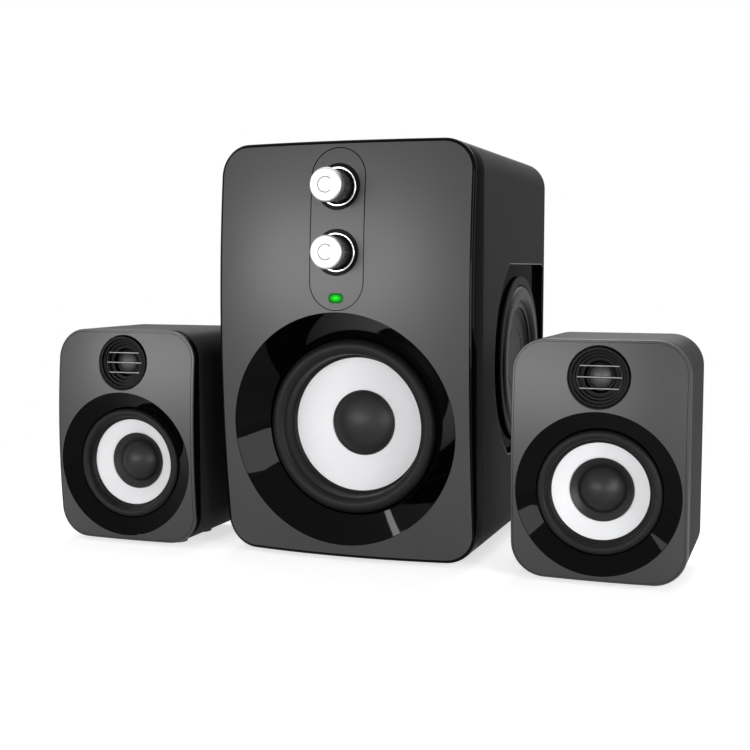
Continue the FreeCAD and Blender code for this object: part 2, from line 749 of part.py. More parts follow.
def dust_cap(name, unit):
    """Domed cap with a brim that lies on the cone."""
    u = unit
    brim = f"({cone_depth(u, u + '_cap')} - fit_gap)"
    root = f"({cone_depth(u, u + '_cap_inner')} - fit_gap)"
    thick = f"{u}_rubber"
    rise = f"({u}_cap_rise - {thick})"
    inside = dome(f"({u}_cap_inner - {thick})", rise, f"{root} - {rise}")
    outside = dome(f"{u}_cap_inner", rise, f"{root} - {u}_cap_rise")
    return turned(name, ((f"{u}_cap", brim), (f"{u}_cap_inner", root), *inside, *outside[::-1],
                         (f"{u}_cap", f"{brim} - {thick}")))


def voice_coil(name, unit):
    """Former with its winding, glued in the cone's neck."""
    u = unit
    front = f"{u}_neck_depth"
    back = f"{u}_coil_back"
    return turned(name, (
        (f"{u}_coil - 0.5", front),
        (f"{u}_coil", front),
        (f"{u}_coil", f"{back} - 7"),
        (f"{u}_coil + 0.5", f"{back} - 7"),
        (f"{u}_coil + 0.5", f"{back} - 1"),
        (f"{u}_coil", f"{back} - 1"),
        (f"{u}_coil", back),
        (f"{u}_coil - 0.5", back),
    ))


def magnet_ring(name, unit):
    """Front plate and ferrite ring as one ring on the basket's back."""
    u = unit
    front = f"{u}_basket_depth"
    back = f"{u}_basket_depth + {u}_plate + {u}_magnet_thickness"
    return turned(name, (
        (f"{u}_coil + 1.3", front),
        (f"{u}_magnet * 0.86", front),
        (f"{u}_magnet * 0.86", f"{front} + {u}_plate"),
        (f"{u}_magnet", f"{front} + {u}_plate"),
        (f"{u}_magnet", back),
        (f"{u}_coil + 3", back),
        (f"{u}_coil + 3", f"{front} + {u}_plate"),
        (f"{u}_coil + 1.3", f"{front} + {u}_plate"),
    ))


def yoke(name, unit):
    """Back plate with the pole that stands inside the coil."""
    u = unit
    plane = f"{u}_basket_depth + {u}_plate + {u}_magnet_thickness"
    return turned(name, (
        ("0", f"{u}_basket_depth"),
        (f"{u}_pole", f"{u}_basket_depth"),
        (f"{u}_pole", plane),
        (f"{u}_magnet * 0.86", plane),
        (f"{u}_magnet * 0.86", f"{plane} + {u}_plate"),
        ("0", f"{plane} + {u}_plate"),
    ))


def pot_magnet(name, unit):
    """Shielding can with magnet, plates and pole in one, behind the basket."""
    u = unit
    front = f"{u}_basket_depth"
    plane = f"{front} + {u}_plate + {u}_magnet_thickness"
    return turned(name, (
        (f"{u}_coil + 1.3", front),
        (f"{u}_magnet", front),
        (f"{u}_magnet", f"{plane} + {u}_plate"),
        ("0", f"{plane} + {u}_plate"),
        ("0", front),
        (f"{u}_pole", front),
        (f"{u}_pole", plane),
        (f"{u}_coil + 1.3", plane),
    ))


def spider(name, unit):
    """Corrugated ring that centres the coil on the basket's ledge."""
    u = unit
    inner = f"{u}_coil + fit_gap"
    outer = f"{u}_waist + 6"
    plane = f"{u}_ledge_depth - fit_gap - {u}_rubber"
    front = []
    back = []
    for step in range(2 * SPIDER_WAVES + 1):
        share = step / (2 * SPIDER_WAVES)
        radius = f"({inner}) + (({outer}) - ({inner})) * {share}"
        wave = f"-{u}_rubber * 1.2" if step % 2 else "0"
        front.append((radius, f"{plane} + ({wave})"))
        back.append((radius, f"{plane} + ({wave}) + {u}_rubber"))
    return turned(name, front + back[::-1])


def basket_screws(name, unit):
    """Four screws from behind through the basket flange into the bowl's ring."""
    items = []
    for index, (x, z) in enumerate(basket_screw_places(unit)):
        item = screw(f"{name}{index}", f"{unit}_sheet + {unit}_flange + fit_gap")
        place(item, x, f"{basket_front(unit)} + {unit}_sheet", z)
        items.append(item)
    return group(name, items)


def basket_screw_places(unit):
    """Screw centres around the driver's axis."""
    reach = f"({unit}_basket - screw_shank - 1.2) * 0.7071"
    return [(f"{a} * {reach}", f"{b} * {reach}") for a in FOOT_SIDES for b in FOOT_SIDES]


# ---------------------------------------------------------------- subwoofer

SUB_X = "subwoofer_shift"
SUB_Y = "(-(sub_depth - knob_reach) / 2)"
PANEL_FRONT = "(sub_depth - sub_panel_inset - sub_panel)"
BOARD_FRONT = "(sub_depth - sub_panel_inset - sub_panel - amp_gap - board)"
KNOBS = (("volume", "volume_height"), ("bass", "bass_height"))


def in_subwoofer(item, name, x="0", y="0", z="0", turn=None):
    """Put a finished piece in the subwoofer and keep it."""
    place(item, f"{SUB_X} + ({x})", f"{SUB_Y} + ({y})", f"foot_height + ({z})", turn)
    return keep(item, name)


def oval(name, width, tall, start, length, z):
    """Bar of oval section along +Y, its middle at the height z."""
    body = new_body(name)
    slab(body, start, length, width, tall, f"({tall}) * 0.49", f"({z}) - ({tall}) / 2")
    return body


def outline_groove():
    """Cutter for the engraved line around the knobs: a thin ring, one line depth into the face."""
    body = new_body("OutlineRing")
    tall = "line_top - line_bottom"
    slab(body, "-1", "16", "2 * line_half_width", tall, "line_half_width * 0.98", "line_bottom")
    slab(body, "-1", "16", "2 * line_half_width - 2 * line_width", f"{tall} - 2 * line_width",
         "(line_half_width - line_width) * 0.98", "line_bottom + line_width", carve=True)
    return cut("OutlineCutter", body, pillow("OutlineTorus", "sub", "line_depth"))


def pilot_holes(name, unit):
    """Cutter for the screws' pilot holes in the ring at the bottom of the bowl."""
    u = unit
    start = f"{u}_throat_depth + {u}_rubber"
    rods_made = [
        rod(f"{name}{i}", "screw_shank + shaft_gap", start, f"{u}_flange + 2", x, f"{u}_height + {z}")
        for i, (x, z) in enumerate(basket_screw_places(u))
    ]
    return group(name, rods_made)


def subwoofer_front():
    """Front moulding: bowl, knob holes, light window and the engraved outline."""
    blank = moulding_blank("SubFront", "sub")
    bowl = bowl_wall("SubBowlWall", "sub", "woofer")
    shell = cut("SubShell", blank, cut("SubHollow", moulding_hollow("SubFront", "sub"), bowl))
    void = bowl_void("SubBowlVoid", "sub", "woofer")
    holes = [rod(f"SubHole{name}", "knob_well + slip_gap", "-5", "25", "0", height) for name, height in KNOBS]
    window = oval("SubWindow", "light_width + 2 * slip_gap", "light_tall + 2 * slip_gap", "-5", "25",
                  "light_height")
    tools = group("SubOpenings", [void, window, pilot_holes("SubPilot", "woofer"), *holes])
    opened = cut("SubOpened", shell, tools)
    in_subwoofer(cut("SubEngraved", opened, outline_groove()), "subwoofer_front")


def pocket_outline(grow="0"):
    """Outline of the side pocket in the YZ plane: an arc in front, flat top, back and bottom."""
    radius = f"(pocket_radius + {grow})"
    half = f"(pocket_radius * pocket_share + {grow})"
    front = f"pocket_centre - sqrt({radius} * {radius} - {half} * {half})"
    return (
        (front, f"pocket_height - {half}"),
        (f"pocket_centre - {radius}", "pocket_height", "via"),
        (front, f"pocket_height + {half}"),
        ("pocket_back", f"pocket_height + {half}"),
        ("pocket_back", f"pocket_height - {half}"),
    )


def subwoofer_case():
    """Case with the radiator's pocket in its right wall."""
    body = case_body("SubCase", "sub")
    backing = new_sketch(body, "YZ_Plane", "sub_width / 2 - pocket_depth - pocket_floor")
    edge = list(pocket_outline("2.5"))
    edge[3:] = [(f"{PANEL_FRONT} - slip_gap", edge[3][1]), (f"{PANEL_FRONT} - slip_gap", edge[4][1])]
    outline(backing, edge)
    pad(body, backing, "pocket_floor + pocket_depth - 1", backwards=False)
    face = new_sketch(body, "YZ_Plane", "sub_width / 2")
    outline(face, pocket_outline())
    pocket(body, face, "pocket_depth")
    doc.recompute()
    corners = []
    depth = number("pocket_depth")
    outside = number("sub_width / 2")
    for index, edge in enumerate(body.Shape.Edges, start=1):
        bounds = edge.BoundBox
        runs_across = abs(bounds.XLength - depth) < 0.01 and bounds.YLength + bounds.ZLength < 0.01
        if runs_across and abs(bounds.XMax - outside) < 0.01:
            corners.append(f"Edge{index}")
    pocketed = body.Tip
    soft = body.newObject("PartDesign::Fillet", "PocketCorners")
    soft.Base = (pocketed, corners)
    bind(soft, "Radius", "pocket_corner")
    body.Tip = soft
    hole = new_sketch(body, "YZ_Plane", "sub_width / 2")
    circles(hole, [("radiator_setback", "radiator_height")], "radiator_hole")
    pocket(body, hole, "pocket_depth + pocket_floor + 2")
    in_subwoofer(body, "subwoofer_case")


def subwoofer_back():
    """Rear panel, its screws and the feet."""
    holes = [((x, "socket_height"), "socket_collar + slip_gap") for x in socket_places()]
    holes.append((("0", "inlet_height"), "inlet_collar + slip_gap"))
    in_subwoofer(rear_panel("SubPanel", "sub", holes), "subwoofer_rear_panel")
    in_subwoofer(rear_screws("SubScrew", "sub"), "subwoofer_rear_screws")
    in_subwoofer(feet("SubFoot", "sub"), "subwoofer_feet")


def woofer():
    """The driver in the subwoofer's face."""
    frame = basket("WooferBasket", "woofer")
    rods(frame, basket_front("woofer"), "woofer_sheet", basket_screw_places("woofer"),
         "screw_shank + slip_gap", carve=True)
    pieces = (
        (frame, "woofer_basket"),
        (basket_screws("WooferScrew", "woofer"), "woofer_basket_screws"),
        (magnet_ring("WooferMagnet", "woofer"), "woofer_magnet"),
        (yoke("WooferYoke", "woofer"), "woofer_yoke"),
        (surround("WooferSurround", "woofer"), "woofer_surround"),
        (spider("WooferSpider", "woofer"), "woofer_spider"),
        (cone("WooferCone", "woofer"), "woofer_cone"),
        (dust_cap("WooferCap", "woofer"), "woofer_dust_cap"),
        (voice_coil("WooferCoil", "woofer"), "woofer_voice_coil"),
    )
    for item, name in pieces:
        in_subwoofer(item, name, z="woofer_height")


def radiator():
    """Passive radiator in the right wall; its depths are counted inwards from the wall's face."""
    seat = "pocket_depth"
    flange = "(pocket_depth - radiator_rubber)"
    frame = turned("RadiatorFrame", (
        ("radiator_opening", flange),
        ("radiator_opening", f"{flange} - radiator_frame_thickness * 0.5"),
        ("radiator_opening + 0.8", f"{flange} - radiator_frame_thickness"),
        ("radiator_frame", f"{flange} - radiator_frame_thickness"),
        ("radiator_frame", flange),
    ))
    outer = "(radiator_opening - fit_gap)"
    inner = "radiator_roll_inner"
    middle = f"({outer} + {inner}) / 2"
    rubber = turned("RadiatorSurround", (
        ("radiator_frame - 1", seat),
        ("radiator_frame - 1", flange),
        (outer, flange),
        (middle, "radiator_crest", "via"),
        (inner, flange),
        ("radiator_plate - 2.4", flange),
        ("radiator_plate - 2.4", seat),
        (f"{inner} + radiator_rubber * 0.6", seat),
        (middle, "radiator_crest + radiator_rubber", "via"),
        (f"{outer} - radiator_rubber * 0.6", seat),
    ))
    front = f"{seat} + fit_gap"
    plate = turned("RadiatorPlate", (
        ("0", f"{front} + radiator_dish"),
        ("radiator_plate - 4", f"{front} + radiator_dish"),
        ("radiator_plate - 2.6", front),
        ("radiator_plate", front),
        ("radiator_plate", f"{front} + radiator_plate_thickness"),
        ("radiator_plate - 2.6", f"{front} + radiator_plate_thickness"),
        ("radiator_plate - 4", f"{front} + radiator_plate_thickness + radiator_dish"),
        ("0", f"{front} + radiator_plate_thickness + radiator_dish"),
    ))
    outward = Rotation(Vector(0, 0, 1), 90)
    for item, name in ((frame, "frame"), (rubber, "surround"), (plate, "plate")):
        in_subwoofer(item, f"side_radiator_{name}", "sub_width / 2", "radiator_setback",
                     "radiator_height", outward)


def knob(name, height):
    """Turned knob: bright cap in front, thinner grip behind, bored for the shaft."""
    face = face_depth("sub", height)
    back = f"{face} + well_seat - 0.5"
    bore = "shaft_radius + shaft_gap"
    front = "-knob_reach"
    groove = KNOB_ENGRAVED_RADIUS
    return turned(name, (
        ("0", front),
        (f"{groove}", front),
        (f"{groove}", f"{front} + 0.3"),
        (f"{groove + KNOB_ENGRAVED_WIDTH}", f"{front} + 0.3"),
        (f"{groove + KNOB_ENGRAVED_WIDTH}", front),
        (f"knob_radius - {KNOB_ROUND}", front),
        (f"knob_radius - {KNOB_ROUND} * 0.293", f"{front} + {KNOB_ROUND} * 0.293", "via"),
        ("knob_radius", f"{front} + {KNOB_ROUND}"),
        ("knob_radius", f"{front} + knob_cap"),
        ("knob_grip", f"{front} + knob_cap"),
        ("knob_grip", back),
        (bore, back),
        (bore, f"{back} - shaft_insert - fit_gap"),
        ("0", f"{back} - shaft_insert - fit_gap"),
    ))


def knob_well(name, height):
    """Black well around a knob, its front flush with the face."""
    face = face_depth("sub", height)
    seat = f"{face} + well_seat"
    blank = turned(name + "Blank", (
        ("knob_well", f"{face} - 3"),
        ("knob_well", f"{seat} + well_floor"),
        ("shaft_radius + 0.5", f"{seat} + well_floor"),
        ("shaft_radius + 0.5", seat),
        ("knob_ring + shaft_gap", seat),
        ("knob_ring + shaft_gap", f"{face} - 3"),
    ))
    place(blank, z=height)
    return common(name, blank, pillow(name + "Torus", "sub"))


def knob_ring(name, height):
    """Bright ring that stands in the well around the knob."""
    face = face_depth("sub", height)
    item = turned(name, (
        ("knob_ring", f"{face} + well_seat"),
        ("knob_ring - knob_ring_width", f"{face} + well_seat"),
        ("knob_ring - knob_ring_width", f"{face} - knob_ring_proud + 0.3"),
        ("knob_ring - knob_ring_width + 0.3", f"{face} - knob_ring_proud"),
        ("knob_ring - 0.3", f"{face} - knob_ring_proud"),
        ("knob_ring", f"{face} - knob_ring_proud + 0.3"),
    ))
    place(item, z=height)
    return item


def potentiometer(name, height):
    """Square body with a nose that reaches forward to the well."""
    body = new_body(name)
    nose = f"{face_depth('sub', height)} + well_seat + well_floor + fit_gap"
    slab(body, "pot_depth", "pot_thickness", "pot_width", "pot_width", "1", f"{height} - pot_width / 2")
    rods(body, nose, f"pot_depth - ({nose})", [("0", height)], "shaft_radius + 1.5")
    rods(body, nose, f"pot_depth + pot_thickness - 1 - ({nose})", [("0", height)],
         "shaft_radius + shaft_gap", carve=True)
    return body


def controls():
    """Knobs, wells, rings, potentiometers with their shafts, power light and control board."""
    wells = []
    rings = []
    pots = []
    for name, height in KNOBS:
        in_subwoofer(knob(f"{name.title()}Knob", height), f"{name}_knob", z=height)
        start = f"{face_depth('sub', height)} + well_seat - 0.5 - shaft_insert"
        back = "pot_depth + pot_thickness - 1 - fit_gap"
        shaft = rod(f"{name.title()}Shaft", "shaft_radius", start, f"{back} - ({start})", "0", height)
        in_subwoofer(group(f"{name.title()}ShaftPiece", [shaft]), f"{name}_shaft")
        wells.append(knob_well(f"{name.title()}Well", height))
        rings.append(knob_ring(f"{name.title()}Ring", height))
        pots.append(potentiometer(f"{name.title()}Pot", height))
    in_subwoofer(group("Wells", wells), "knob_wells")
    in_subwoofer(group("Rings", rings), "knob_rings")
    in_subwoofer(group("Potentiometers", pots), "potentiometers")
    board_front = "pot_depth + pot_thickness"
    lens = oval("Lens", "light_width", "light_tall", "-2", f"{board_front} + 2 - fit_gap", "light_height")
    shaped = common("LensShaped", lens, pillow("LensTorus", "sub", "-light_proud"))
    in_subwoofer(shaped, "power_light")
    board = new_body("ControlBoard")
    bottom = "light_height - light_tall"
    tall = f"volume_height + pot_width - ({bottom})"
    slab(board, board_front, "board", "pot_width + 12", tall, "1.5", bottom)
    in_subwoofer(board, "control_board")


def socket_places():
    """Middle of each audio socket across the rear panel."""
    return [f"{step} * socket_pitch" for step in (-1, 0, 1)]


def round_socket(name, start, length, panel_back, body_width, collar, bore, bore_length, x, z):
    """Socket: square body from the depth start, and a round collar out through the panel."""
    body = new_body(name)
    slab(body, start, length, body_width, body_width, "0.8", f"({z}) - ({body_width}) / 2", x)
    rods(body, f"{start} + {length}", f"{panel_back} - ({start}) - ({length})", [(x, z)], collar)
    rods(body, f"{panel_back} - {bore_length}", bore_length, [(x, z)], bore, carve=True)
    return body


def electronics():
    """Amplifier board, heat sink and the sockets that it carries."""
    board = new_body("AmplifierBoard")
    slab(board, BOARD_FRONT, "board", "amp_width", "amp_tall", "2", "amp_height - amp_tall / 2")
    in_subwoofer(board, "amplifier_board")
    start = f"{BOARD_FRONT} + board"
    length = "amp_gap"
    outside = "sub_depth - sub_panel_inset"
    jacks = [
        round_socket(f"AudioSocket{i}", start, length, outside, "socket_body", "socket_collar",
                     "socket_hole", "socket_bore_length", x, "socket_height")
        for i, x in enumerate(socket_places())
    ]
    in_subwoofer(group("AudioSockets", jacks), "audio_sockets")
    inlet = round_socket("PowerInlet", start, length, outside, "socket_body + 3", "inlet_collar",
                         "inlet_hole", "socket_bore_length", "0", "inlet_height")
    in_subwoofer(inlet, "power_inlet")
    in_subwoofer(heat_sink(), "heat_sink", y=BOARD_FRONT, z="amp_height - sink_tall / 2")


def heat_sink():
    """Comb of upright fins on the front of the amplifier board."""
    body = new_body("HeatSink")
    sketch = new_sketch(body, "XY_Plane")
    corners = [("-sink_width / 2", "0")]
    pitch = f"(sink_width - sink_fin) / {FINS - 1}"
    for fin in range(FINS):
        left = f"-sink_width / 2 + {fin} * {pitch}"
        right = f"{left} + sink_fin"
        if fin > 0:
            corners.append((left, "-sink_base"))
        corners.append((left, "-sink_length"))
        corners.append((right, "-sink_length"))
        if fin < FINS - 1:
            corners.append((right, "-sink_base"))
    corners.append(("sink_width / 2", "0"))
    outline(sketch, corners)
    pad(body, sketch, "sink_tall", backwards=False)
    return body


# ---------------------------------------------------------------- satellites

def tweeter_collar(name):
    """Solid left around the tweeter."""
    item = turned(name, (
        ("0", "0"),
        ("tweeter_mouth + tweeter_collar", "0"),
        ("tweeter_mouth + tweeter_collar", "tweeter_back"),
        ("0", "tweeter_back"),
    ))
    place(item, z="tweeter_height")
    return item


def tweeter_opening(name):
    """Hole for the tweeter, its front edge rounded."""
    face = face_depth("sat", "tweeter_height")
    item = turned(name, (
        ("0", "-5"),
        ("tweeter_mouth + tweeter_round", "-5"),
        ("tweeter_mouth + tweeter_round", face),
        ("tweeter_mouth + tweeter_round * 0.293", f"{face} + tweeter_round * 0.293", "via"),
        ("tweeter_mouth", f"{face} + tweeter_round"),
        ("tweeter_mouth", "tweeter_back + 1"),
        ("0", "tweeter_back + 1"),
    ))
    place(item, z="tweeter_height")
    return item


def satellite_front(name):
    """Front moulding of a satellite."""
    bowl = bowl_wall(name + "BowlWall", "sat", "mid")
    solids = group(name + "Walls", [bowl, tweeter_collar(name + "Collar")])
    hollow = cut(name + "Hollow", moulding_hollow(name, "sat"), solids)
    shell = cut(name + "Shell", moulding_blank(name, "sat"), hollow)
    void = bowl_void(name + "BowlVoid", "sat", "mid")
    return cut(name + "Opened", shell, group(name + "Voids", [void, tweeter_opening(name + "Opening")]))


def tweeter_body(name):
    """Stepped cup around the dome, with a slot for the dome's coil."""
    corners = [("tweeter_mouth - slip_gap", "tweeter_back")]
    radius = "tweeter_mouth - slip_gap"
    depth = "tweeter_rim_depth"
    corners.append((radius, depth))
    for step in range(1, TWEETER_STEPS + 1):
        inner = f"{radius} - {step} * tweeter_step"
        corners.append((inner, f"{depth} + {step - 1} * tweeter_drop"))
        corners.append((inner, f"{depth} + {step} * tweeter_drop"))
    floor = "tweeter_floor"
    corners.append(("tweeter_dome + 1.6", f"{depth} + {TWEETER_STEPS} * tweeter_drop"))
    corners.append(("tweeter_dome + 1", floor))
    corners.append(("tweeter_dome + fit_gap", floor))
    corners.append(("tweeter_dome + fit_gap", f"{floor} + tweeter_coil + fit_gap"))
    corners.append(("tweeter_dome - tweeter_foil - fit_gap", f"{floor} + tweeter_coil + fit_gap"))
    corners.append(("tweeter_dome - tweeter_foil - fit_gap", floor))
    corners.append(("0", floor))
    corners.append(("0", "tweeter_back"))
    return turned(name, corners)


def tweeter_dome(name):
    """Dome with its coil."""
    base = "(tweeter_floor - fit_gap)"
    rise = "tweeter_dome_rise"
    thick = "tweeter_foil"
    inside = dome(f"(tweeter_dome - {thick})", rise, f"{base} - {rise}")
    outside = dome("tweeter_dome", rise, f"{base} - {rise} - {thick}")
    return turned(name, (("tweeter_dome", f"{base} + tweeter_coil"),
                         (f"tweeter_dome - {thick}", f"{base} + tweeter_coil"),
                         *inside, *outside[::-1]))


def tweeter_guard(name):
    """Round wire ring with three level bars, resting on a step of the tweeter body."""
    back = f"tweeter_rim_depth + {TWEETER_STEPS - 1} * tweeter_drop"
    half = "guard_bar / 2"
    ring = turned(name + "Ring", (
        (f"guard_ring - {half}", f"{back} - guard_depth"),
        (f"guard_ring + {half}", f"{back} - guard_depth"),
        (f"guard_ring + {half}", back),
        (f"guard_ring - {half}", back),
    ))
    pieces = [ring]
    for step in (-1, 0, 1):
        reach = f"sqrt(guard_ring * guard_ring - {step * step} * guard_pitch * guard_pitch)"
        bar = doc.addObject("Part::Box", f"{name}Bar{step + 1}")
        bind(bar, "Length", f"2 * {reach}")
        bind(bar, "Width", "guard_depth")
        bind(bar, "Height", "guard_bar")
        place(bar, f"-{reach}", f"{back} - guard_depth", f"{step} * guard_pitch - {half}")
        pieces.append(bar)
    return fuse(name, pieces)


def satellite(side, x, y):
    """One satellite, all its pieces in the same way."""
    tag = side.title()
    middle = "mid_height"
    high = "tweeter_height"
    outside = "sat_depth - sat_panel_inset"
    front = f"{outside} - sat_panel - sat_socket"
    hole = [(("0", "sat_socket_height"), "socket_collar + slip_gap")]
    pieces = (
        (case_body(tag + "Case", "sat"), "case", "0"),
        (satellite_front(tag + "Front"), "front", "0"),
        (rear_panel(tag + "Panel", "sat", hole), "rear_panel", "0"),
        (rear_screws(tag + "Screw", "sat"), "rear_screws", "0"),
        (feet(tag + "Foot", "sat"), "feet", "0"),
        (basket(tag + "Basket", "mid"), "basket", middle),
        (pot_magnet(tag + "Magnet", "mid"), "magnet", middle),
        (surround(tag + "Surround", "mid"), "surround", middle),
        (cone(tag + "Cone", "mid"), "cone", middle),
        (dust_cap(tag + "Cap", "mid"), "dust_cap", middle),
        (voice_coil(tag + "Coil", "mid"), "voice_coil", middle),
        (tweeter_body(tag + "Tweeter"), "tweeter_body", high),
        (tweeter_dome(tag + "Dome"), "tweeter_dome", high),
        (tweeter_guard(tag + "Guard"), "tweeter_guard", high),
        (round_socket(tag + "Socket", front, "sat_socket", outside, "socket_body", "socket_collar",
                      "socket_hole", "socket_bore_length", "0", "sat_socket_height"), "socket", "0"),
    )
    for item, name, height in pieces:
        place(item, x, y, f"foot_height + ({height})")
        keep(item, f"{side}_{name}")


# ---------------------------------------------------------------- check and write

def check():
    """Stop if any object failed or any sub-part has no sound solid."""
    faults = []
    for item in doc.Objects:
        if "Invalid" in item.State or "Error" in item.State:
            faults.append(f"{item.Name} failed")
    for item in sub_parts:
        shape = item.Shape
        if shape.isNull() or not shape.isValid() or not shape.Solids:
            faults.append(f"{item.Label} has no sound solid")
    if faults:
        raise RuntimeError("; ".join(faults))


def write():
    """Write one STEP file for each sub-part."""
    os.makedirs("parts", exist_ok=True)
    for item in sub_parts:
        item.Shape.exportStep(f"parts/{item.Label}.step")
        print(item.Label, len(item.Shape.Solids), round(item.Shape.Volume, 1))


fill_sheet()
subwoofer_case()
subwoofer_front()
subwoofer_back()
woofer()
radiator()
controls()
electronics()
satellite("left", "-satellite_spread", f"{SUB_Y} + left_setback")
satellite("right", "satellite_spread", f"{SUB_Y} + right_setback")
doc.recompute()
check()
write()
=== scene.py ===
"""Looks for a desktop speaker set: a subwoofer and two satellites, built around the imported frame."""

import logging
import math
from dataclasses import dataclass
from enum import Enum
from typing import Callable, ClassVar, Iterable, Sequence, TypeAlias

import bmesh
import bpy
from bmesh.types import BMEdge, BMesh, BMFace, BMVert
from mathutils import Matrix, Vector


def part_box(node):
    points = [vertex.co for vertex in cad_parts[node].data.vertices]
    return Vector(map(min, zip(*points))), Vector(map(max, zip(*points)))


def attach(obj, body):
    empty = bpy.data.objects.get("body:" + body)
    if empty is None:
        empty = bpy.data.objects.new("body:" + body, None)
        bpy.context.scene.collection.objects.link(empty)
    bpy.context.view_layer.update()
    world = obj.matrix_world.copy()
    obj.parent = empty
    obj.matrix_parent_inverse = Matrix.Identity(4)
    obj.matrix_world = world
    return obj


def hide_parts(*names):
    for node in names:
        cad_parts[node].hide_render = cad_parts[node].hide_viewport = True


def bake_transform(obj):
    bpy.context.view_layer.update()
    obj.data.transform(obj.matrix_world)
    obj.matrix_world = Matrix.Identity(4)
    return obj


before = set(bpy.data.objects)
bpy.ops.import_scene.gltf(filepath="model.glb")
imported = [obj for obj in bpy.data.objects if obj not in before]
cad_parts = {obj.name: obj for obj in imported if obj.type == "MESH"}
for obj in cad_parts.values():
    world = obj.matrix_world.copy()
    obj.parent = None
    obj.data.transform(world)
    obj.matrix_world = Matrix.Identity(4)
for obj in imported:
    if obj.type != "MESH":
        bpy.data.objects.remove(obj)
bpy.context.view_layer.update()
log = logging.getLogger("speakers")

MM = 0.001
SHARP = math.radians(32)  # faces that meet at less than this are shaded as one
NEAR = 1e-3  # points closer than this are in one plane, in millimetres
MERGE = 1e-4  # points closer than this are one, in millimetres
WHOLE = 0.9995  # share of an edge that a rounding may take
HAIR = 0.0005  # width of an inset whose wall stands upright
WIDE = 5000.0  # area that only a whole side wall passes, in square millimetres
FRONT = Vector((0, -1, 0))
RIGHT = Vector((1, 0, 0))

Value: TypeAlias = "Wire | float"
Colour = tuple[float, float, float, float]
Triple = tuple[float, float, float]
Pair = tuple[float, float]
Rounding = tuple[float, float, int]  # width, depth and segments of a rounded edge
Profile = Sequence[tuple[float, ...]]  # corners: radius, depth and, where it is rounded, by how much
Edges = Sequence[BMEdge]


class Body(Enum):
    """The moving and fixed bodies of the set."""

    SUBWOOFER = "subwoofer"
    LEFT = "satellite_left"
    RIGHT = "satellite_right"
    VOLUME = "volume_control"
    BASS = "bass_control"
    WOOFER = "woofer_moving"
    RADIATOR = "radiator_moving"
    LEFT_DRIVER = "left_driver_moving"
    RIGHT_DRIVER = "right_driver_moving"
    LEFT_TWEETER = "left_tweeter_moving"
    RIGHT_TWEETER = "right_tweeter_moving"


# ---------------------------------------------------------------- shader graphs

class Wire:
    """A shader socket that Python operators turn into Math nodes."""

    def __init__(self, graph: "Graph", socket: bpy.types.NodeSocket) -> None:
        """Remember the graph and the socket."""
        self.graph, self.socket = graph, socket

    def math(self, operation: str, *values: Value) -> "Wire":
        """Math node on the given values."""
        return self.graph.node("ShaderNodeMath", {"operation": operation}, dict(enumerate(values)))

    def __add__(self, other: Value) -> "Wire":
        """Sum."""
        return self.math("ADD", self, other)

    def __radd__(self, other: float) -> "Wire":
        """Sum with the number first."""
        return self.math("ADD", other, self)

    def __sub__(self, other: Value) -> "Wire":
        """Difference."""
        return self.math("SUBTRACT", self, other)

    def __rsub__(self, other: float) -> "Wire":
        """Difference with the number first."""
        return self.math("SUBTRACT", other, self)

    def __mul__(self, other: Value) -> "Wire":
        """Product."""
        return self.math("MULTIPLY", self, other)

    def __rmul__(self, other: float) -> "Wire":
        """Product with the number first."""
        return self.math("MULTIPLY", other, self)

    def __lt__(self, other: Value) -> "Wire":
        """1 where this is less."""
        return self.math("LESS_THAN", self, other)

    def __gt__(self, other: Value) -> "Wire":
        """1 where this is greater, which is also a number less than this."""
        return self.math("GREATER_THAN", self, other)

    def wave(self) -> "Wire":
        """Sine wave of this value between 0 and 1."""
        return self.math("SINE", self) * 0.5 + 0.5

    def reach(self, other: "Wire") -> "Wire":
        """Length across two coordinates."""
        total = self * self + other * other
        return total.math("SQRT", total)

    def step(self, low: float, high: float) -> "Wire":
        """Smooth step from 0 at low to 1 at high."""
        return self.graph.node("ShaderNodeMapRange", {"interpolation_type": "SMOOTHSTEP"},
                               {0: self, 1: low, 2: high, 3: 0.0, 4: 1.0})


